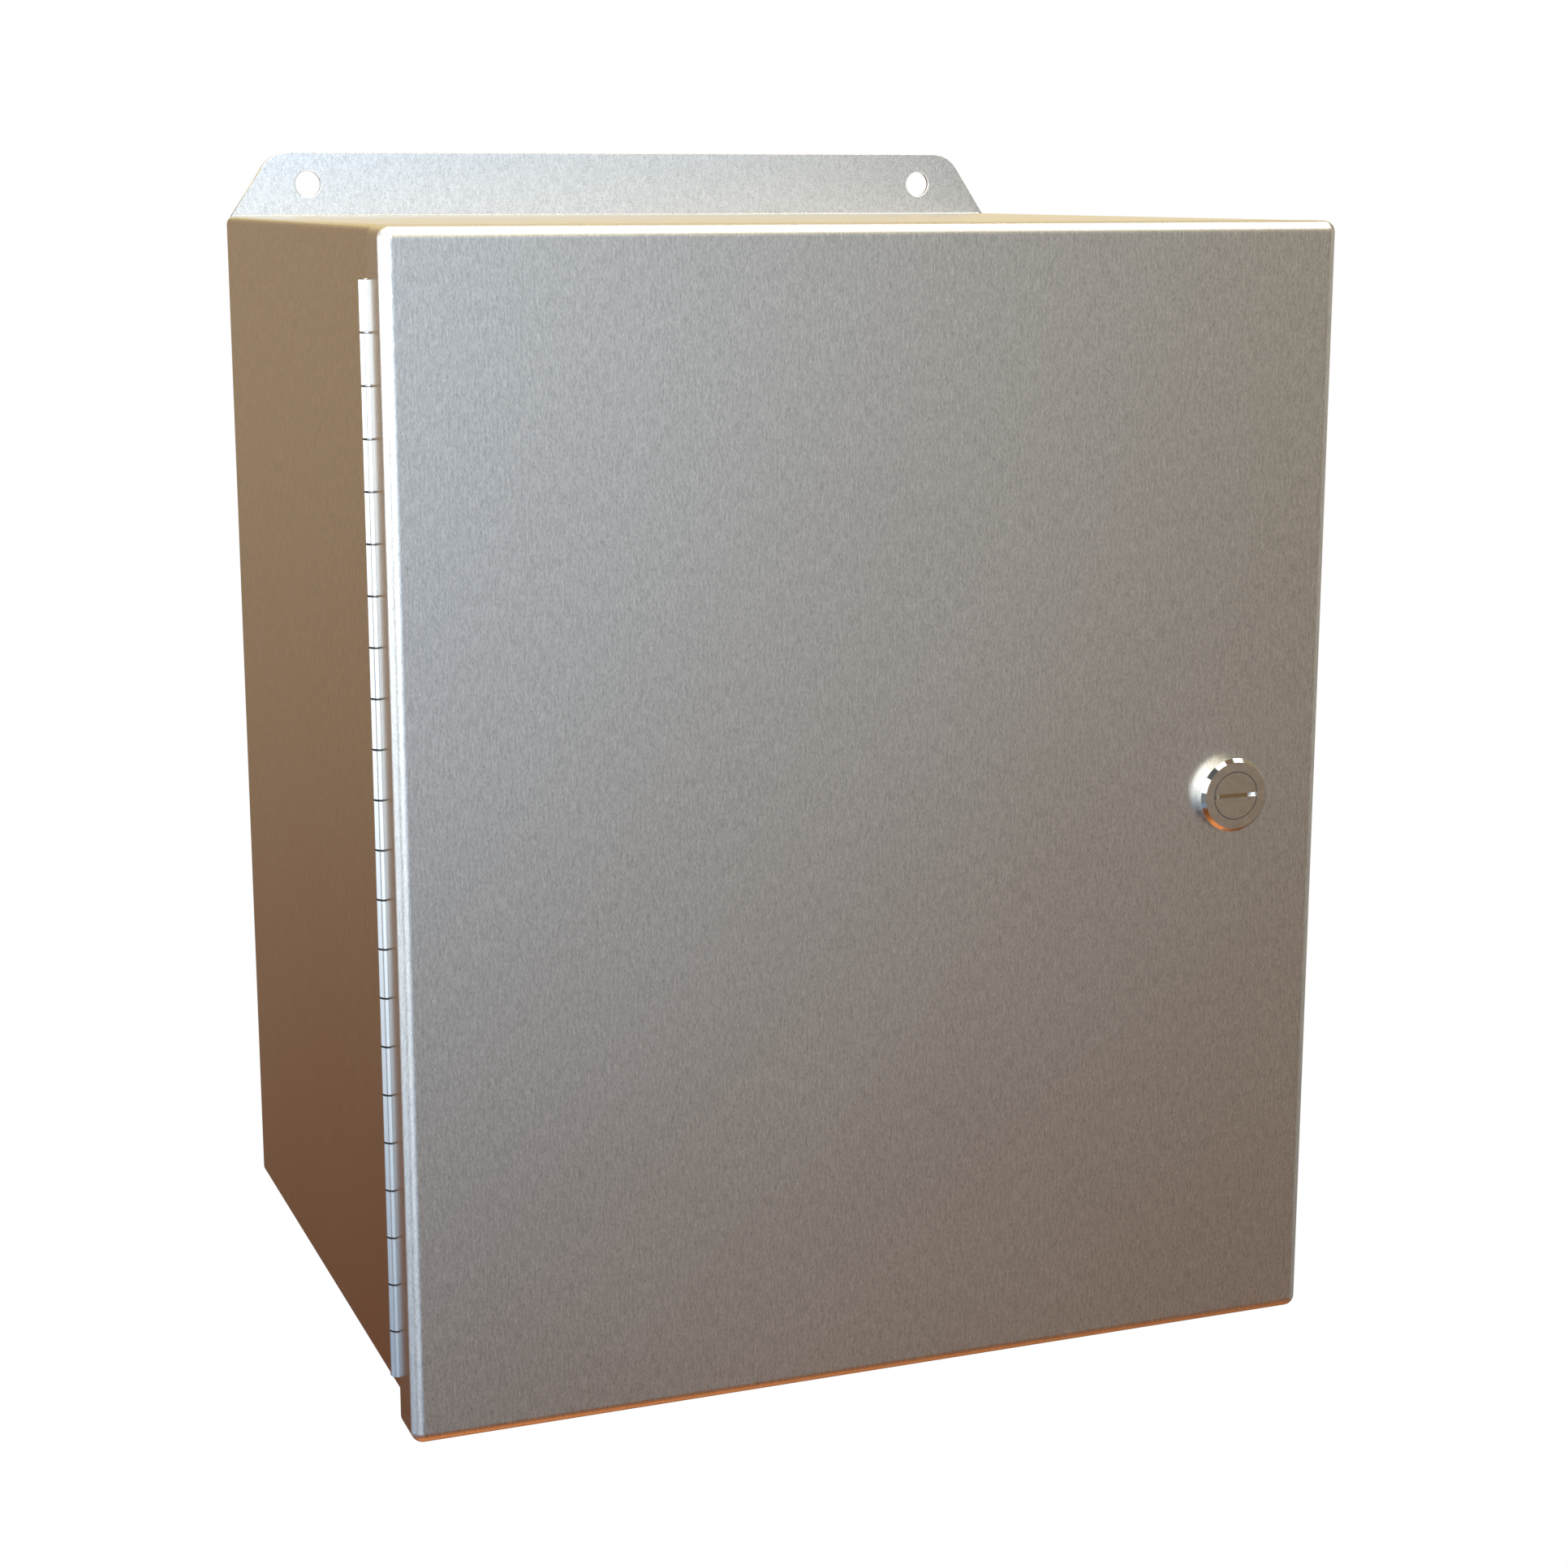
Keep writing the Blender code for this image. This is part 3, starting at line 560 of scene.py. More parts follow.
def make_flange_weld(name, direction):
    """Dressed weld fillet where a mounting flange meets the body."""
    sunk = 0.0002
    toe_y, toe_z = -SHEET - WELD_LEG, HALF_HEIGHT + WELD_LEG
    outline = arc(toe_y, toe_z, WELD_LEG, -90, 0, 8)
    outline += [(-SHEET + sunk, toe_z), (-SHEET + sunk, HALF_HEIGHT - sunk), (toe_y, HALF_HEIGHT - sunk)]
    half = HALF_WIDTH - FLANGE_BASE_INSET - BEND / 2
    weld = extrusion(name, [(y, direction * z) for y, z in outline], lambda y, z, x: (x, y, z), -half, half)
    piece(weld, STEEL_BODY, "enclosure")


# ---------------------------------------------------------------- door
def make_door():
    door = box(
        "door_cover",
        DOOR_LOW,
        DOOR_HIGH,
        DOOR_BEND,
        lambda start, end: abs(start.y - end.y) > GAP or (start.y + end.y) / 2 < DOOR_HIGH.y - GAP,
    )
    sheet = Vector((SHEET, SHEET, SHEET))
    inner_low = DOOR_LOW + sheet
    inner_high = DOOR_HIGH - sheet
    inner_high.y = DOOR_HIGH.y + CLEAR
    inside = box(
        "inside",
        inner_low,
        inner_high,
        DOOR_BEND - SHEET,
        lambda start, end: abs(start.y - end.y) > GAP or (start.y + end.y) / 2 < DOOR_HIGH.y,
        segments=INNER_FOLD_STEPS,
    )
    boolean(door, inside)
    bevel_where(door, lambda co: co.y > DOOR_HIGH.y - IN_PLANE, EDGE, 2)
    profile = [(LATCH_HOLE_RADIUS, DOOR_LOW.y - CLEAR), (LATCH_HOLE_RADIUS, DOOR_LOW.y + CLEAR / 2)]
    boolean(door, turned("hole", profile, LATCH_CENTRE, False))
    piece(door, STEEL_DOOR, "door", ["door_pan"])
    second_finish(door, STEEL_RETURN, lambda face: abs(face.normal.y) < FLAT_ON)


def make_gasket():
    """Foam bead: flat against the door, crowned where the sealing lip presses."""
    low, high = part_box("door_gasket")
    half, thick = GASKET_WIDTH / 2, high.y - low.y
    mid_x, mid_z = high.x - half, high.z - half
    rings = []
    crown = [(1.0, 0.0), (1.0, 0.45), (0.93, 0.74), (0.78, 0.90), (0.5, 0.98), (0.0, 1.0)]
    profile = crown + [(-u, v) for u, v in reversed(crown[:-1])]
    for across, up in profile:
        offset = across * half
        outline = rounded_rectangle(mid_x + offset, -mid_z - offset, mid_z + offset, GASKET_CORNER)
        rings.append([(x, low.y + up * thick, z) for x, z in outline])
    piece(ring_loft("foam_gasket", rings, True), FOAM, "door", ["door_gasket"])


# ---------------------------------------------------------------- hinge
def curl_outline(reach):
    """Section of a knuckle and its leaf, for a leaf along +u that is flush with the curl's -v side."""
    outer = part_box("hinge_door_leaf")[1].x - HINGE.x
    points = arc(0, 0, outer, -90, -360 - CURL_SEAM_DEG, 44)
    points += arc(0, 0, CURL_BORE, -360 - CURL_SEAM_DEG, -CURL_TAIL_DEG, 40)
    points += [(reach, -outer + LEAF), (reach, -outer)]
    return points


def make_leaf(name, node, body, place, plate_low, plate_high, first):
    """One hinge leaf: a plate with rolled knuckles at every other place."""
    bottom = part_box("hinge_pin")[0].z
    plate = box(name, plate_low, plate_high, EDGE, segments=1)
    bm = bmesh.new()
    for index in range(first, KNUCKLES, 2):
        low = bottom + index * KNUCKLE_PITCH + GAP / 2
        high = low + KNUCKLE_PITCH - GAP
        solid = extrusion("curl", curl_outline(CURL_REACH), place, low, high)
        bevel_where(solid, lambda co: True, CURL_EDGE, 1)
        bm.from_mesh(solid.data)
        bpy.data.objects.remove(solid, do_unlink=True)
    curls = to_object("curls", bm)
    boolean(plate, curls, "UNION")
    piece(plate, STEEL_HINGE, body, [node])
    # the knuckles' upper and lower ends get the nearly black finish: oil, plus painted shade for the gaps
    # between knuckles
    second_finish(plate, KNUCKLE_END_OIL_AND_SHADE, lambda face: abs(face.normal.z) > 0.5)


def make_hinge():
    low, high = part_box("hinge_body_leaf")
    near = HINGE.x + (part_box("hinge_door_leaf")[1].x - HINGE.x) + GAP
    outer = HINGE.y - low.y
    make_leaf(
        "hinge_leaf_fixed",
        "hinge_body_leaf",
        "enclosure",
        lambda u, v, z: (HINGE.x + u, HINGE.y + v, z),
        (near, low.y, low.z),
        (high.x, low.y + LEAF, high.z),
        0,
    )
    door_low, door_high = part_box("hinge_door_leaf")
    make_leaf(
        "hinge_leaf_moving",
        "hinge_door_leaf",
        "door",
        lambda u, v, z: (HINGE.x - v, HINGE.y - u, z),
        (door_high.x - LEAF, door_low.y, door_low.z),
        (door_high.x, HINGE.y - outer - GAP, door_high.z),
        1,
    )
    pin_low, pin_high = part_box("hinge_pin")
    radius = (pin_high.x - pin_low.x) / 2
    profile = [(radius - PIN_CHAMFER, pin_low.z), (radius, pin_low.z + PIN_CHAMFER)]
    profile += [(radius, pin_high.z - PIN_CHAMFER), (radius - PIN_CHAMFER, pin_high.z)]
    rings = []
    for r, z in profile:
        circle = arc(0, 0, r, 0, 360 - 360 / PIN_SIDES, PIN_SIDES - 1)
        rings.append([(HINGE.x + x, HINGE.y + y, z) for x, y in circle])
    piece(ring_loft("hinge_rod", rings, False), STEEL_HINGE, "enclosure", ["hinge_pin"])


# ---------------------------------------------------------------- fasteners, along -Y
def threaded(name, profile, thread_near, thread_far, centre):
    """A stud: plain profile, then a helical thread from thread_near to thread_far (both y, far < near)."""
    rings = [round_ring(y, centre, ROUND_STUD, radius) for radius, y in profile]
    steps = int((thread_near - thread_far) / THREAD_PITCH * THREAD_STEPS)
    for step in range(steps + 1):
        y = thread_near + (thread_far - thread_near) * step / steps
        taper = max(0.0, THREAD_CHAMFER - (y - thread_far))

        def radius_at(angle, y=y, taper=taper):
            phase = (y / THREAD_PITCH + angle / (2 * math.pi)) % 1.0
            groove = THREAD_DEPTH * (1 - abs(2 * phase - 1))
            return STUD_RADIUS - max(groove, taper)

        rings.append(ring(y, centre, ROUND_STUD, radius_at))
    return ring_loft(name, rings, False)


def hex_nut(name, centre, near, far, apothem, bore, count=ROUND_NUT):
    """A nut between two Y planes, both faces chamfered by a cone so the flats end in arcs."""
    side = flat_sided(apothem, 6)
    toward = 1 if far > near else -1
    height = abs(far - near)
    corner = apothem / math.cos(math.pi / 6)
    face_radius = apothem * 0.97
    cone_slope = 1.6
    countersink = 0.0005

    def cone(depth):
        return lambda angle: min(side(angle), face_radius + depth * cone_slope)

    full_depth = (corner - face_radius) / cone_slope
    depths = [full_depth * k / 4 for k in range(5)]
    rings = [round_ring(near, centre, count, bore + countersink)]
    rings += [ring(near + toward * d, centre, count, cone(d)) for d in depths]
    rings += [ring(near + toward * (height - d), centre, count, cone(d)) for d in reversed(depths)]
    rings += [
        round_ring(far, centre, count, bore + countersink),
        round_ring(far - toward * countersink, centre, count, bore),
        round_ring(near + toward * countersink, centre, count, bore),
    ]
    return ring_loft(name, rings, True)


def washer(name, centre, near, far, outer, inner, teeth=0):
    """A flat washer with eased edges; teeth, where set, are cut into its outer edge."""
    toward = 1 if far > near else -1
    ease = 0.00015
    notch_depth = 0.0013
    notch_above = 0.2

    def edge(shrink):
        def radius_at(angle):
            if teeth and math.sin(teeth * angle) > notch_above:
                return outer - shrink - notch_depth
            return outer - shrink
        return radius_at

    rings = [
        round_ring(near, centre, ROUND_FINE, inner),
        ring(near, centre, ROUND_FINE, edge(ease)),
        ring(near + toward * ease, centre, ROUND_FINE, edge(0)),
        ring(far - toward * ease, centre, ROUND_FINE, edge(0)),
        ring(far, centre, ROUND_FINE, edge(ease)),
        round_ring(far, centre, ROUND_FINE, inner),
    ]
    return ring_loft(name, rings, True)


def span(node):
    """Near and far Y of a node, near the back wall and far toward the front, and its centre (x, z)."""
    low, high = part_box(node)
    return high.y, low.y, ((low.x + high.x) / 2, (low.z + high.z) / 2)


def make_panel():
    low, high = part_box("inner_panel")
    outline = rounded_rectangle(high.x, low.z, high.z, PANEL_CORNER, 10)
    panel = extrusion("back_panel", outline, on_wall, low.y, high.y)
    bevel_where(panel, lambda co: True, SHEAR_EDGE, 2)
    radius = STUD_RADIUS + PANEL_HOLE_CLEARANCE
    profile = [(radius, low.y - CLEAR), (radius, high.y + CLEAR)]
    for number in range(1, 5):
        _near, _far, centre = span(f"panel_stud_{number}")
        boolean(panel, turned("hole", profile, centre, False, ROUND_PANEL_HOLE))
    piece(panel, PAINT, "enclosure", ["inner_panel"])


def make_panel_fixings():
    panel_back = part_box("inner_panel")[1].y + GAP
    for number in range(1, 5):
        near, far, centre = span(f"panel_stud_{number}")
        profile = [
            (COLLAR_RADIUS - EDGE, near),
            (COLLAR_RADIUS, near - EDGE),
            (COLLAR_RADIUS, near - COLLAR_HEIGHT + EDGE),
            (COLLAR_RADIUS - 2 * EDGE, near - COLLAR_HEIGHT),
            (SHANK_RADIUS, near - COLLAR_HEIGHT),
            (SHANK_RADIUS, panel_back + EDGE),
            (SHANK_RADIUS - EDGE, panel_back),
            (STUD_RADIUS - THREAD_DEPTH, panel_back),
        ]
        stud = threaded(f"panel_mount_stud_{number}", profile, panel_back - EDGE, far, centre)
        piece(stud, ZINC, "enclosure", [f"panel_stud_{number}"])
        near, far, centre = span(f"panel_washer_{number}")
        flat = washer(f"panel_flat_washer_{number}", centre, near, far, WASHER_RADIUS, NUT_BORE)
        piece(flat, ZINC, "enclosure", [f"panel_washer_{number}"])
        near, far, centre = span(f"panel_nut_{number}")
        nut = hex_nut(f"panel_hex_nut_{number}", centre, near, far, NUT_HALF, NUT_BORE)
        piece(nut, ZINC, "enclosure", [f"panel_nut_{number}"])


def make_earth_fixing(prefix, label, body, place):
    """A welded stud with a toothed washer and a nut, made along -Y from the origin and then placed."""
    centre = (0, 0)
    profile = [
        (EARTH_FOOT_RADIUS - EDGE, 0),
        (EARTH_FOOT_RADIUS, -EDGE),
        (EARTH_FOOT_RADIUS, -EARTH_FOOT_HEIGHT + EDGE),
        (EARTH_FOOT_RADIUS - 2 * EDGE, -EARTH_FOOT_HEIGHT),
        (STUD_RADIUS - THREAD_DEPTH, -EARTH_FOOT_HEIGHT),
    ]
    stud = threaded(f"{label}_stud_threaded", profile, -EARTH_FOOT_HEIGHT - EDGE, -EARTH_LENGTH, centre)
    near, far = EARTH_WASHER
    lock = washer(f"{label}_lock_washer", centre, near, far, LOCK_WASHER_RADIUS, NUT_BORE, LOCK_WASHER_TEETH)
    near, far = EARTH_NUT
    nut = hex_nut(f"{label}_hex_nut", centre, near, far, NUT_HALF, NUT_BORE)
    for obj, kind in ((stud, "stud"), (lock, "washer"), (nut, "nut")):
        obj.data.transform(place)
        piece(obj, ZINC, body, [f"{prefix}_{kind}"])


def make_earth_fixings():
    low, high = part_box("ground_stud")
    place = Matrix.Translation(((low.x + high.x) / 2, (low.y + high.y) / 2, low.z))
    make_earth_fixing("ground", "ground", "enclosure", place @ Matrix.Rotation(math.radians(-90), 4, "X"))
    low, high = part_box("door_bond_stud")
    place = Matrix.Translation(((low.x + high.x) / 2, low.y, (low.z + high.z) / 2))
    make_earth_fixing("door_bond", "bond", "door", place @ Matrix.Rotation(math.radians(180), 4, "Z"))


# ---------------------------------------------------------------- latch
HOUSING_LOW, HOUSING_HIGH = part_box("latch_housing")
INSERT_LOW, INSERT_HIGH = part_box("latch_insert")
CAM_LOW, CAM_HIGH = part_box("latch_cam")
LATCH_FACE = HOUSING_LOW.y
RIM_RADIUS = (HOUSING_HIGH.x - HOUSING_LOW.x) / 2
HEAD_RADIUS = (INSERT_HIGH.x - INSERT_LOW.x) / 2
HEAD_BORE = HEAD_RADIUS + HEAD_GAP
BEZEL_BACK = DOOR_LOW.y - GAP
HEAD_BACK = BEZEL_BACK - SHAFT_PLAY / 2


def on_latch_face(face):
    return face.center.y < LATCH_FACE + SNUG


def make_latch_housing():
    """Bezel and barrel in one, the black rubber ring filling the gap round the turning head up to its face,
    which also stands in as painted shade for that gap, and the seal and nut on the barrel.
    """
    end = HOUSING_HIGH.y
    profile = [
        (HEAD_BORE, LATCH_FACE),
        (RIM_RADIUS - BEZEL_CHAMFER, LATCH_FACE),
        (RIM_RADIUS, LATCH_FACE + BEZEL_CHAMFER),
        (RIM_RADIUS, DOOR_LOW.y - SNUG),
        (RIM_RADIUS - BEZEL_WALL, DOOR_LOW.y - SNUG),
        (RIM_RADIUS - BEZEL_WALL, BEZEL_BACK - GROOVE_DEPTH),
        (BARREL_RADIUS, BEZEL_BACK - GROOVE_DEPTH),
        (BARREL_RADIUS, end - EDGE),
        (BARREL_RADIUS - EDGE, end),
        (SHAFT_RADIUS + SHAFT_PLAY, end),
        (SHAFT_RADIUS + SHAFT_PLAY, BEZEL_BACK + SHAFT_PLAY),
        (HEAD_BORE, BEZEL_BACK + SHAFT_PLAY),
    ]
    housing = turned("latch_bezel", profile, LATCH_CENTRE, True, ROUND_BEZEL)
    piece(housing, CHROME, "door", ["latch_housing"])
    second_finish(housing, SATIN, on_latch_face)

    # black ring raised to just under the face so that it hides the gap's bright walls: a rubber ring, and
    # painted shade for the gap round the head
    inner, outer = HEAD_RADIUS + SNUG, HEAD_BORE - SNUG
    front, rear = LATCH_FACE + SNUG, BEZEL_BACK - SHEET / 2
    profile = [(inner, front), (outer, front), (outer, rear), (inner, rear)]
    head_seal_shade_ring = turned("latch_head_seal_shade_ring", profile, LATCH_CENTRE, True, ROUND_FINE)
    piece(head_seal_shade_ring, FOAM, "door")

    near, far, centre = span("latch_seal")
    seal = washer("latch_gasket", centre, near, far, RIM_RADIUS - BEZEL_WALL - GAP, BARREL_RADIUS + GAP)
    piece(seal, FOAM, "door", ["latch_seal"])
    near, far, centre = span("latch_nut")
    nut = hex_nut("latch_hex_nut", centre, far, near, LATCH_NUT_HALF, BARREL_RADIUS + GAP, ROUND_FINE)
    piece(nut, ZINC, "door", ["latch_nut"])


def make_latch_insert():
    """The turning head with its slot, the shaft, the square that drives the cam, and the stub for its nut."""
    shaft_end = HOUSING_HIGH.y + GAP
    square_end = CAM_HIGH.y - GAP / 2
    stations = [
        (LATCH_FACE, HEAD_RADIUS),
        (HEAD_BACK, HEAD_RADIUS),
        (HEAD_BACK, SHAFT_RADIUS),
        (shaft_end, SHAFT_RADIUS),
    ]
    rings = [round_ring(y, LATCH_CENTRE, ROUND_FINE, radius) for y, radius in stations]
    square = flat_sided(SQUARE_HALF, 4)
    rings += [ring(y, LATCH_CENTRE, ROUND_FINE, square) for y in (shaft_end, square_end)]
    stations = [
        (square_end, STUB_RADIUS),
        (INSERT_HIGH.y - STUB_CHAMFER, STUB_RADIUS),
        (INSERT_HIGH.y, STUB_RADIUS - STUB_CHAMFER),
    ]
    rings += [round_ring(y, LATCH_CENTRE, ROUND_FINE, radius) for y, radius in stations]
    insert = ring_loft("latch_driver", rings, False)

    run_out = math.sqrt(SLOT_RAMP ** 2 - (SLOT_RAMP - SLOT_DEPTH) ** 2)
    floor_half, ramp_y = HEAD_RADIUS - run_out, LATCH_FACE + SLOT_DEPTH - SLOT_RAMP
    outline = arc(LATCH.x + floor_half, ramp_y, SLOT_RAMP, 0, 90, 36)
    outline += arc(LATCH.x - floor_half, ramp_y, SLOT_RAMP, 90, 180, 36)
    boolean(insert, extrusion("slot", outline, upright, LATCH.z - SLOT_HALF, LATCH.z + SLOT_HALF))
    piece(insert, CHROME, "latch", ["latch_insert"])
    second_finish(insert, SATIN, on_latch_face)


def cam_outline():
    """A round hub with a straight arm that points up at rest."""
    half, hub, reach, corner = 0.0070, 0.0090, 0.0200, 0.0025
    meet = math.degrees(math.acos(half / hub))
    points = arc(0, 0, hub, 180 - meet, 360 + meet, 40)
    points += arc(half - corner, reach - corner, corner, 0, 90, 8)
    points += arc(corner - half, reach - corner, corner, 90, 180, 8)
    return [(LATCH.x + x, LATCH.z + z) for x, z in points]


def make_latch_cam():
    """The cam on the insert's square, with its washer and nut."""
    cam = extrusion("latch_cam_arm", cam_outline(), on_wall, CAM_LOW.y, CAM_HIGH.y)
    half = SQUARE_HALF + SHAFT_PLAY
    hole = box(
        "hole",
        (LATCH.x - half, CAM_HIGH.y - CLEAR, LATCH.z - half),
        (LATCH.x + half, CAM_HIGH.y + CLEAR, LATCH.z + half),
    )
    bevel_where(cam, lambda co: True, SHEAR_EDGE, 2)
    boolean(cam, hole)
    piece(cam, ZINC, "latch", ["latch_cam"])
    bore = STUB_RADIUS + GAP
    near, far, centre = span("cam_washer")
    flat = washer("latch_cam_washer", centre, near, far, CAM_WASHER_RADIUS, bore)
    piece(flat, ZINC, "latch", ["cam_washer"])
    near, far, centre = span("cam_nut")
    nut = hex_nut("latch_cam_nut", centre, far, near, CAM_NUT_HALF, bore)
    piece(nut, ZINC, "latch", ["cam_nut"])


# ---------------------------------------------------------------- studio
# tints, brightest channel 1
WHITE = (1.00, 1.00, 0.97)
DAYLIGHT = (0.87, 0.94, 1.00)
SKY = (0.65, 0.80, 1.00)
DUSK = (0.50, 0.70, 1.00)
STONE = (1.00, 0.94, 0.85)
PLASTER = (1.00, 0.86, 0.55)
SAND = (1.00, 0.79, 0.42)
TAN = (1.00, 0.71, 0.43)
AMBER = (1.00, 0.70, 0.26)
UMBER = (1.00, 0.36, 0.12)

# each part of the studio: its tint and how bright it is
SURFACES = {
    "floor_near": (UMBER, 1.0),
    "floor_far": (UMBER, 0.35),
    "ceiling": (WHITE, 2.6),
    "ceiling_gap": (DAYLIGHT, 0.15),
    "fitting": (TAN, 0.25),
    "corner": (PLASTER, 0.4),
    "stand": (DAYLIGHT, 0.3),
    "rug": (UMBER, 0.25),
    "pole": (STONE, 0.2),
    "upper": (PLASTER, 1.3),
    "upper_left": (WHITE, 3.2),
    "upper_side": (DAYLIGHT, 1.1),
    "upper_right": (SAND, 0.95),
    "back_left_low": (UMBER, 0.15),
    "back_left_high": (TAN, 0.4),
    "window_low": (DUSK, 0.55),
    "window_high": (DAYLIGHT, 2.8),
    "glass_low": (DUSK, 0.65),
    "glass_high": (DAYLIGHT, 3.3),
    "edge_low": (DUSK, 0.1),
    "edge_high": (SKY, 1.6),
    "front_low": (TAN, 0.28),
    "front_high": (DAYLIGHT, 0.7),
    "far_low": (UMBER, 0.15),
    "far_high": (AMBER, 0.26),
    "right_low": (STONE, 0.3),
    "right_high": (STONE, 0.55),
    "back_right_low": (STONE, 0.3),
    "back_right_high": (SAND, 0.9),
}
STUDIO = {
    name: tuple(brightness * channel for channel in tint)
    for name, (tint, brightness) in SURFACES.items()
}

# Directions in the room are in degrees: the bearing (turn) is 0 straight out of the wall and + to the right,
# and the rise is + upward. Before the first edge lie "back_left" and, above it, "upper_right".

# where each wall begins: its bearing, and how soft the edge is
WALL_EDGES = (
    ("window", -138, 6),
    ("glass", -46, 5),
    ("edge", -12, 4),
    ("front", 12.5, 6),
    ("far", 26, 6),
    ("right", 46, 10),
    ("back_right", 126, 8),
)

# the same for the room above the walls
UPPER_EDGES = (
    ("upper_side", -138, 8),
    ("upper_left", -67.5, 7.5),
    ("upper", 2, 8),
    ("upper_right", 124, 8),
)

# rises between which one band fades into the next
NEAR_TO_FAR_FLOOR = (-80, -52)
FLOOR_TO_WALL = (-50, -26)
LOW_TO_HIGH_WALL = (-26, 2)
WALL_TO_UPPER = (8, 24)
UPPER_TO_CEILING = (30, 42)

SHELF_RISE = 16.0           # how much taller the wall is from SHELF_BEGINS to SHELF_ENDS (bearings)
SHELF_BEGINS = (14, 30)
SHELF_ENDS = (60, 80)
BEHIND = 130.0              # past this bearing, to either side, the ceiling begins higher,
BEHIND_RISE = 20.0          # by this much

# smaller things in the room: their lowest and highest rise, their bearings, and how soft their edges are
PATCHES = (
    ("ceiling_gap", (31, 57), (-56, -28), 1.0),
    ("fitting", (59, 71), (14, 60), 1.0),
    ("corner", (10, 46), (78, 128), 3.0),
    ("stand", (-24, -1), (-66, -54), 1.0),
    ("pole", (14, 70), (141, 145), 1.0),
    ("rug", (-50, -36), (-80, -40), 2.0),
)


def between(graph, value, limits, soft):
    """1 where the value lies between two limits, fading out over soft to each side of them."""
    low, high = limits
    rising = graph.ramp(value, low - soft, low + soft)
    falling = graph.ramp(value, high - soft, high + soft, 1.0, 0.0)
    return graph.math("MULTIPLY", rising, falling)


def room_colour(graph, rise, turn):
    """Colour of the room in a direction, in bands by rise: floor, walls, the room above them, ceiling."""
    low, high, upper = STUDIO["back_left_low"], STUDIO["back_left_high"], STUDIO["upper_right"]
    for name, bearing, softness in WALL_EDGES:
        beyond = graph.ramp(turn, bearing - softness, bearing + softness)
        low = graph.mix(beyond, low, STUDIO[name + "_low"])
        high = graph.mix(beyond, high, STUDIO[name + "_high"])
    for name, bearing, softness in UPPER_EDGES:
        beyond = graph.ramp(turn, bearing - softness, bearing + softness)
        upper = graph.mix(beyond, upper, STUDIO[name])
    wall = graph.mix(graph.ramp(rise, *LOW_TO_HIGH_WALL), low, high)
    floor = graph.mix(graph.ramp(rise, *NEAR_TO_FAR_FLOOR), STUDIO["floor_near"], STUDIO["floor_far"])
    colour = graph.mix(graph.ramp(rise, *FLOOR_TO_WALL), floor, wall)

    shelf = graph.math("MULTIPLY", graph.ramp(turn, *SHELF_BEGINS, 0.0, SHELF_RISE),
                       graph.ramp(turn, *SHELF_ENDS, 1.0, 0.0))
    above_shelf = graph.math("SUBTRACT", rise, shelf)
    colour = graph.mix(graph.ramp(above_shelf, *WALL_TO_UPPER), colour, upper)
    behind = graph.math("GREATER_THAN", graph.math("ABSOLUTE", turn), BEHIND)
    under_ceiling = graph.math("SUBTRACT", rise, graph.math("MULTIPLY", behind, BEHIND_RISE))
    colour = graph.mix(graph.ramp(under_ceiling, *UPPER_TO_CEILING), colour, STUDIO["ceiling"])
    for name, rises, turns, soft in PATCHES:
        mask = graph.math("MULTIPLY", between(graph, rise, rises, soft), between(graph, turn, turns, soft))
        colour = graph.mix(mask, colour, STUDIO[name])
    return colour


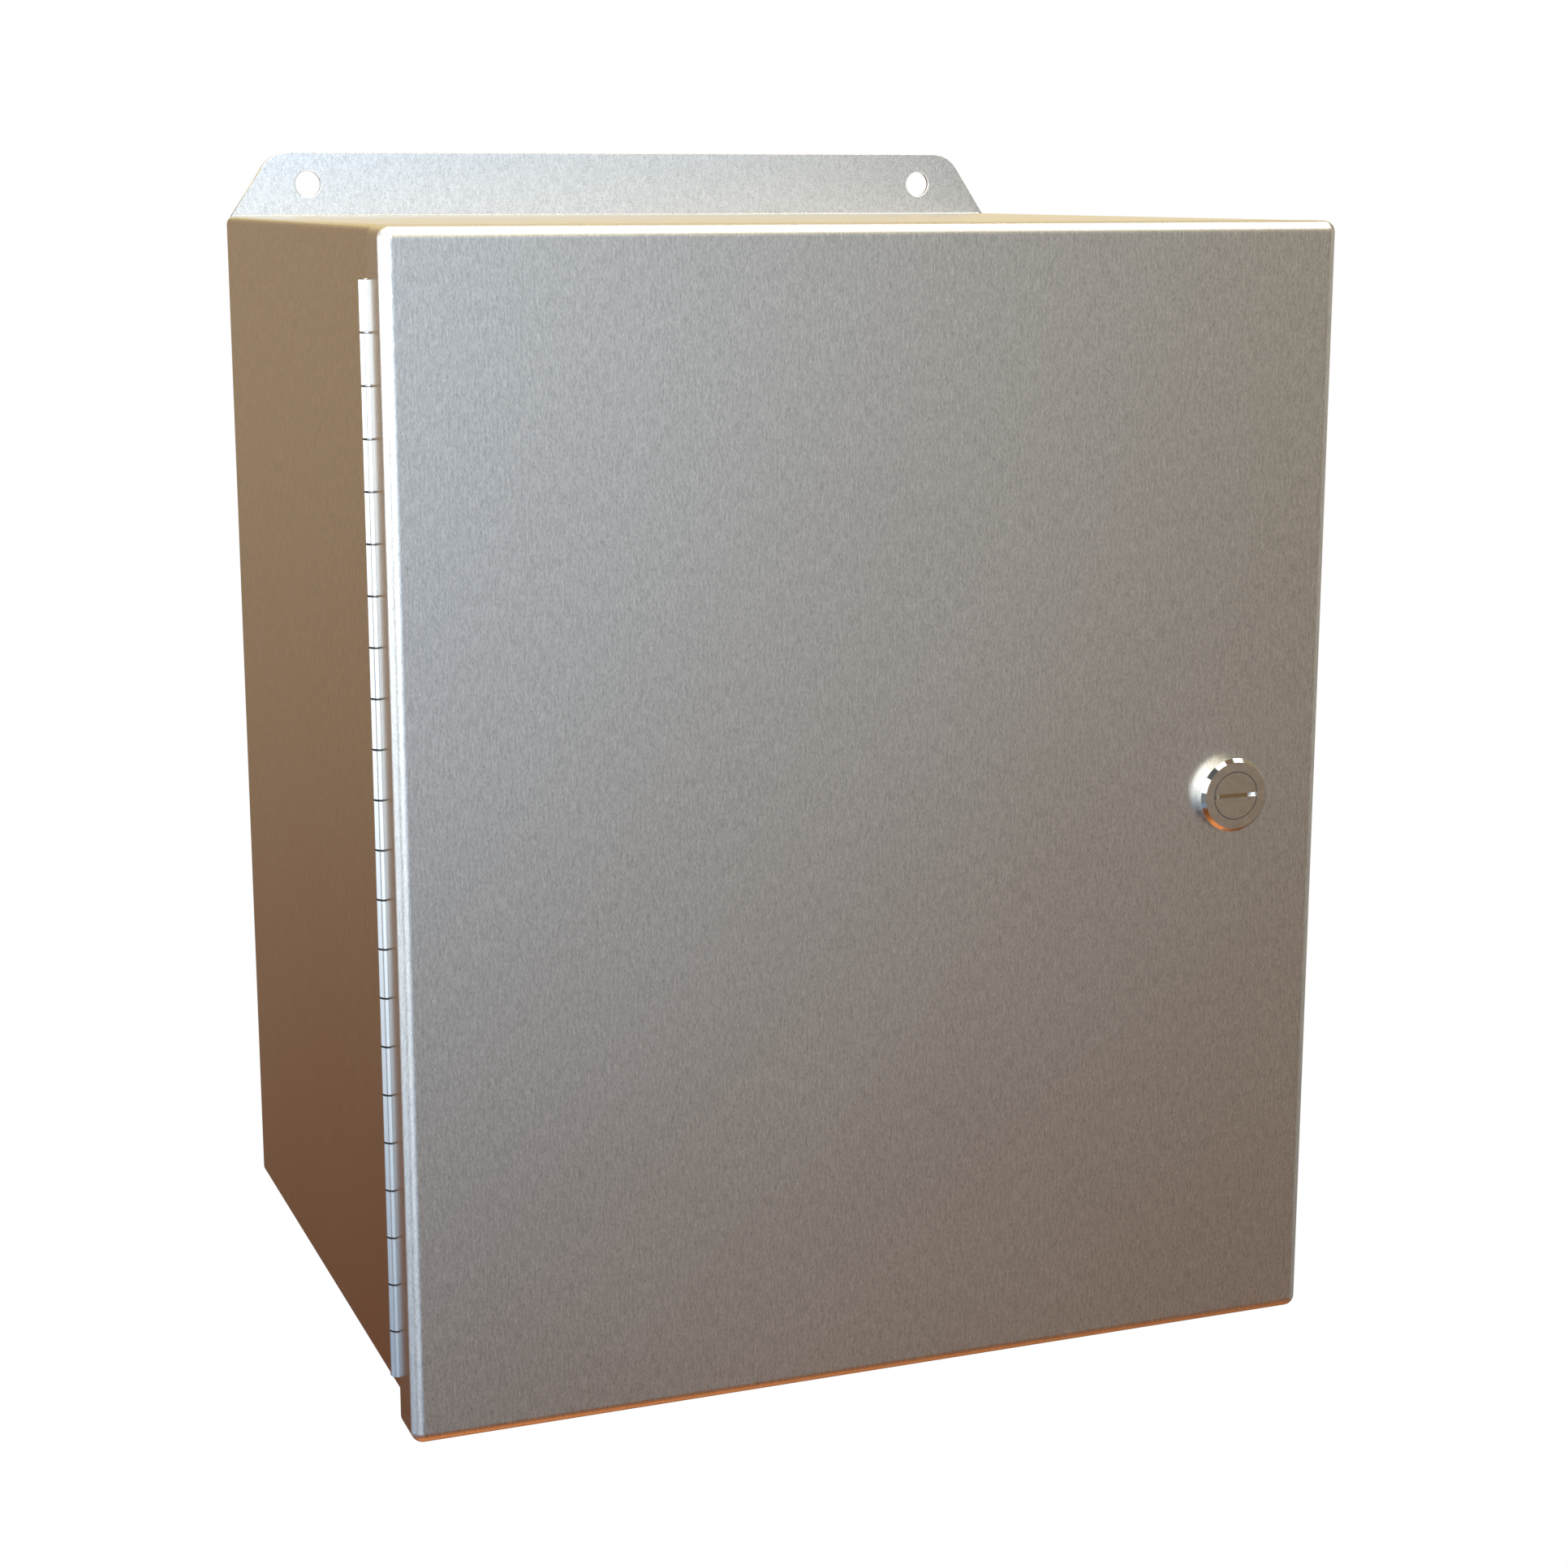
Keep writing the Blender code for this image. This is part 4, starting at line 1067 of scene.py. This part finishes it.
def make_world():
    """The room, which only reflections see; the camera sees plain white."""
    world = bpy.data.worlds.new("studio")
    bpy.context.scene.world = world
    world.use_nodes = True
    graph = Graph(world.node_tree)
    direction = graph.node("ShaderNodeTexCoord").outputs["Generated"]
    split = graph.node("ShaderNodeSeparateXYZ")
    graph.feed(split.inputs[0], direction)
    x, y, z = split.outputs
    to_degrees = 180 / math.pi
    rise = graph.math("MULTIPLY", graph.math("ARCSINE", z), to_degrees)
    turn = graph.math("MULTIPLY", graph.math("ARCTAN2", x, graph.math("MULTIPLY", y, -1.0)), to_degrees)

    lights = graph.node("ShaderNodeBackground")
    graph.feed(lights.inputs["Color"], room_colour(graph, rise, turn))
    plain = graph.node("ShaderNodeBackground")
    plain.inputs["Color"].default_value = (1.0, 1.0, 1.0, 1.0)
    pick = graph.node("ShaderNodeMixShader")
    graph.feed(pick.inputs[0], graph.node("ShaderNodeLightPath").outputs["Is Camera Ray"])
    graph.tree.links.new(lights.outputs[0], pick.inputs[1])
    graph.tree.links.new(plain.outputs[0], pick.inputs[2])
    graph.tree.links.new(pick.outputs[0], graph.node("ShaderNodeOutputWorld").inputs["Surface"])


FLOOR_HALF = 60.0
FLOOR_HEIGHT = -1.2


def make_floor():
    """Plain white floor, far below the wall-hung box."""
    bm = bmesh.new()
    bmesh.ops.create_grid(bm, x_segments=1, y_segments=1, size=FLOOR_HALF)
    bmesh.ops.translate(bm, vec=(0, 0, FLOOR_HEIGHT), verts=bm.verts)
    floor = to_object("studio_floor", bm)
    mat = bpy.data.materials.new("floor_white")
    mat.use_nodes = True
    graph = Graph(mat.node_tree)
    glow = graph.node("ShaderNodeEmission")
    glow.inputs["Color"].default_value = (1.0, 1.0, 1.0, 1.0)
    output = graph.node("ShaderNodeOutputMaterial")
    graph.tree.links.new(glow.outputs[0], output.inputs["Surface"])
    floor.data.materials.append(mat)
    floor.visible_glossy = False
    floor.visible_diffuse = False
    floor.visible_shadow = False


CAMERA_LENS = 65.3
CAMERA_PLACE = (-0.2866, -0.8825, 0.1616)
CAMERA_TILT = 11.89         # degrees down from level
CAMERA_TURN = 21.16         # degrees toward the right


def make_camera():
    data = bpy.data.cameras.new("camera")
    data.lens = CAMERA_LENS
    data.sensor_width = 36.0
    data.clip_start = 0.01
    camera = bpy.data.objects.new("camera", data)
    camera.location = CAMERA_PLACE
    camera.rotation_euler = (math.radians(90 - CAMERA_TILT), 0.0, math.radians(-CAMERA_TURN))
    bpy.context.collection.objects.link(camera)
    bpy.context.scene.camera = camera


make_body()
make_flange_weld("flange_weld_top", 1)
make_flange_weld("flange_weld_bottom", -1)
make_door()
make_gasket()
make_hinge()
make_panel()
make_panel_fixings()
make_earth_fixings()
make_latch_housing()
make_latch_insert()
make_latch_cam()
make_world()
make_floor()
make_camera()
bpy.context.scene.view_settings.view_transform = "Standard"
bpy.context.scene.view_settings.look = "None"
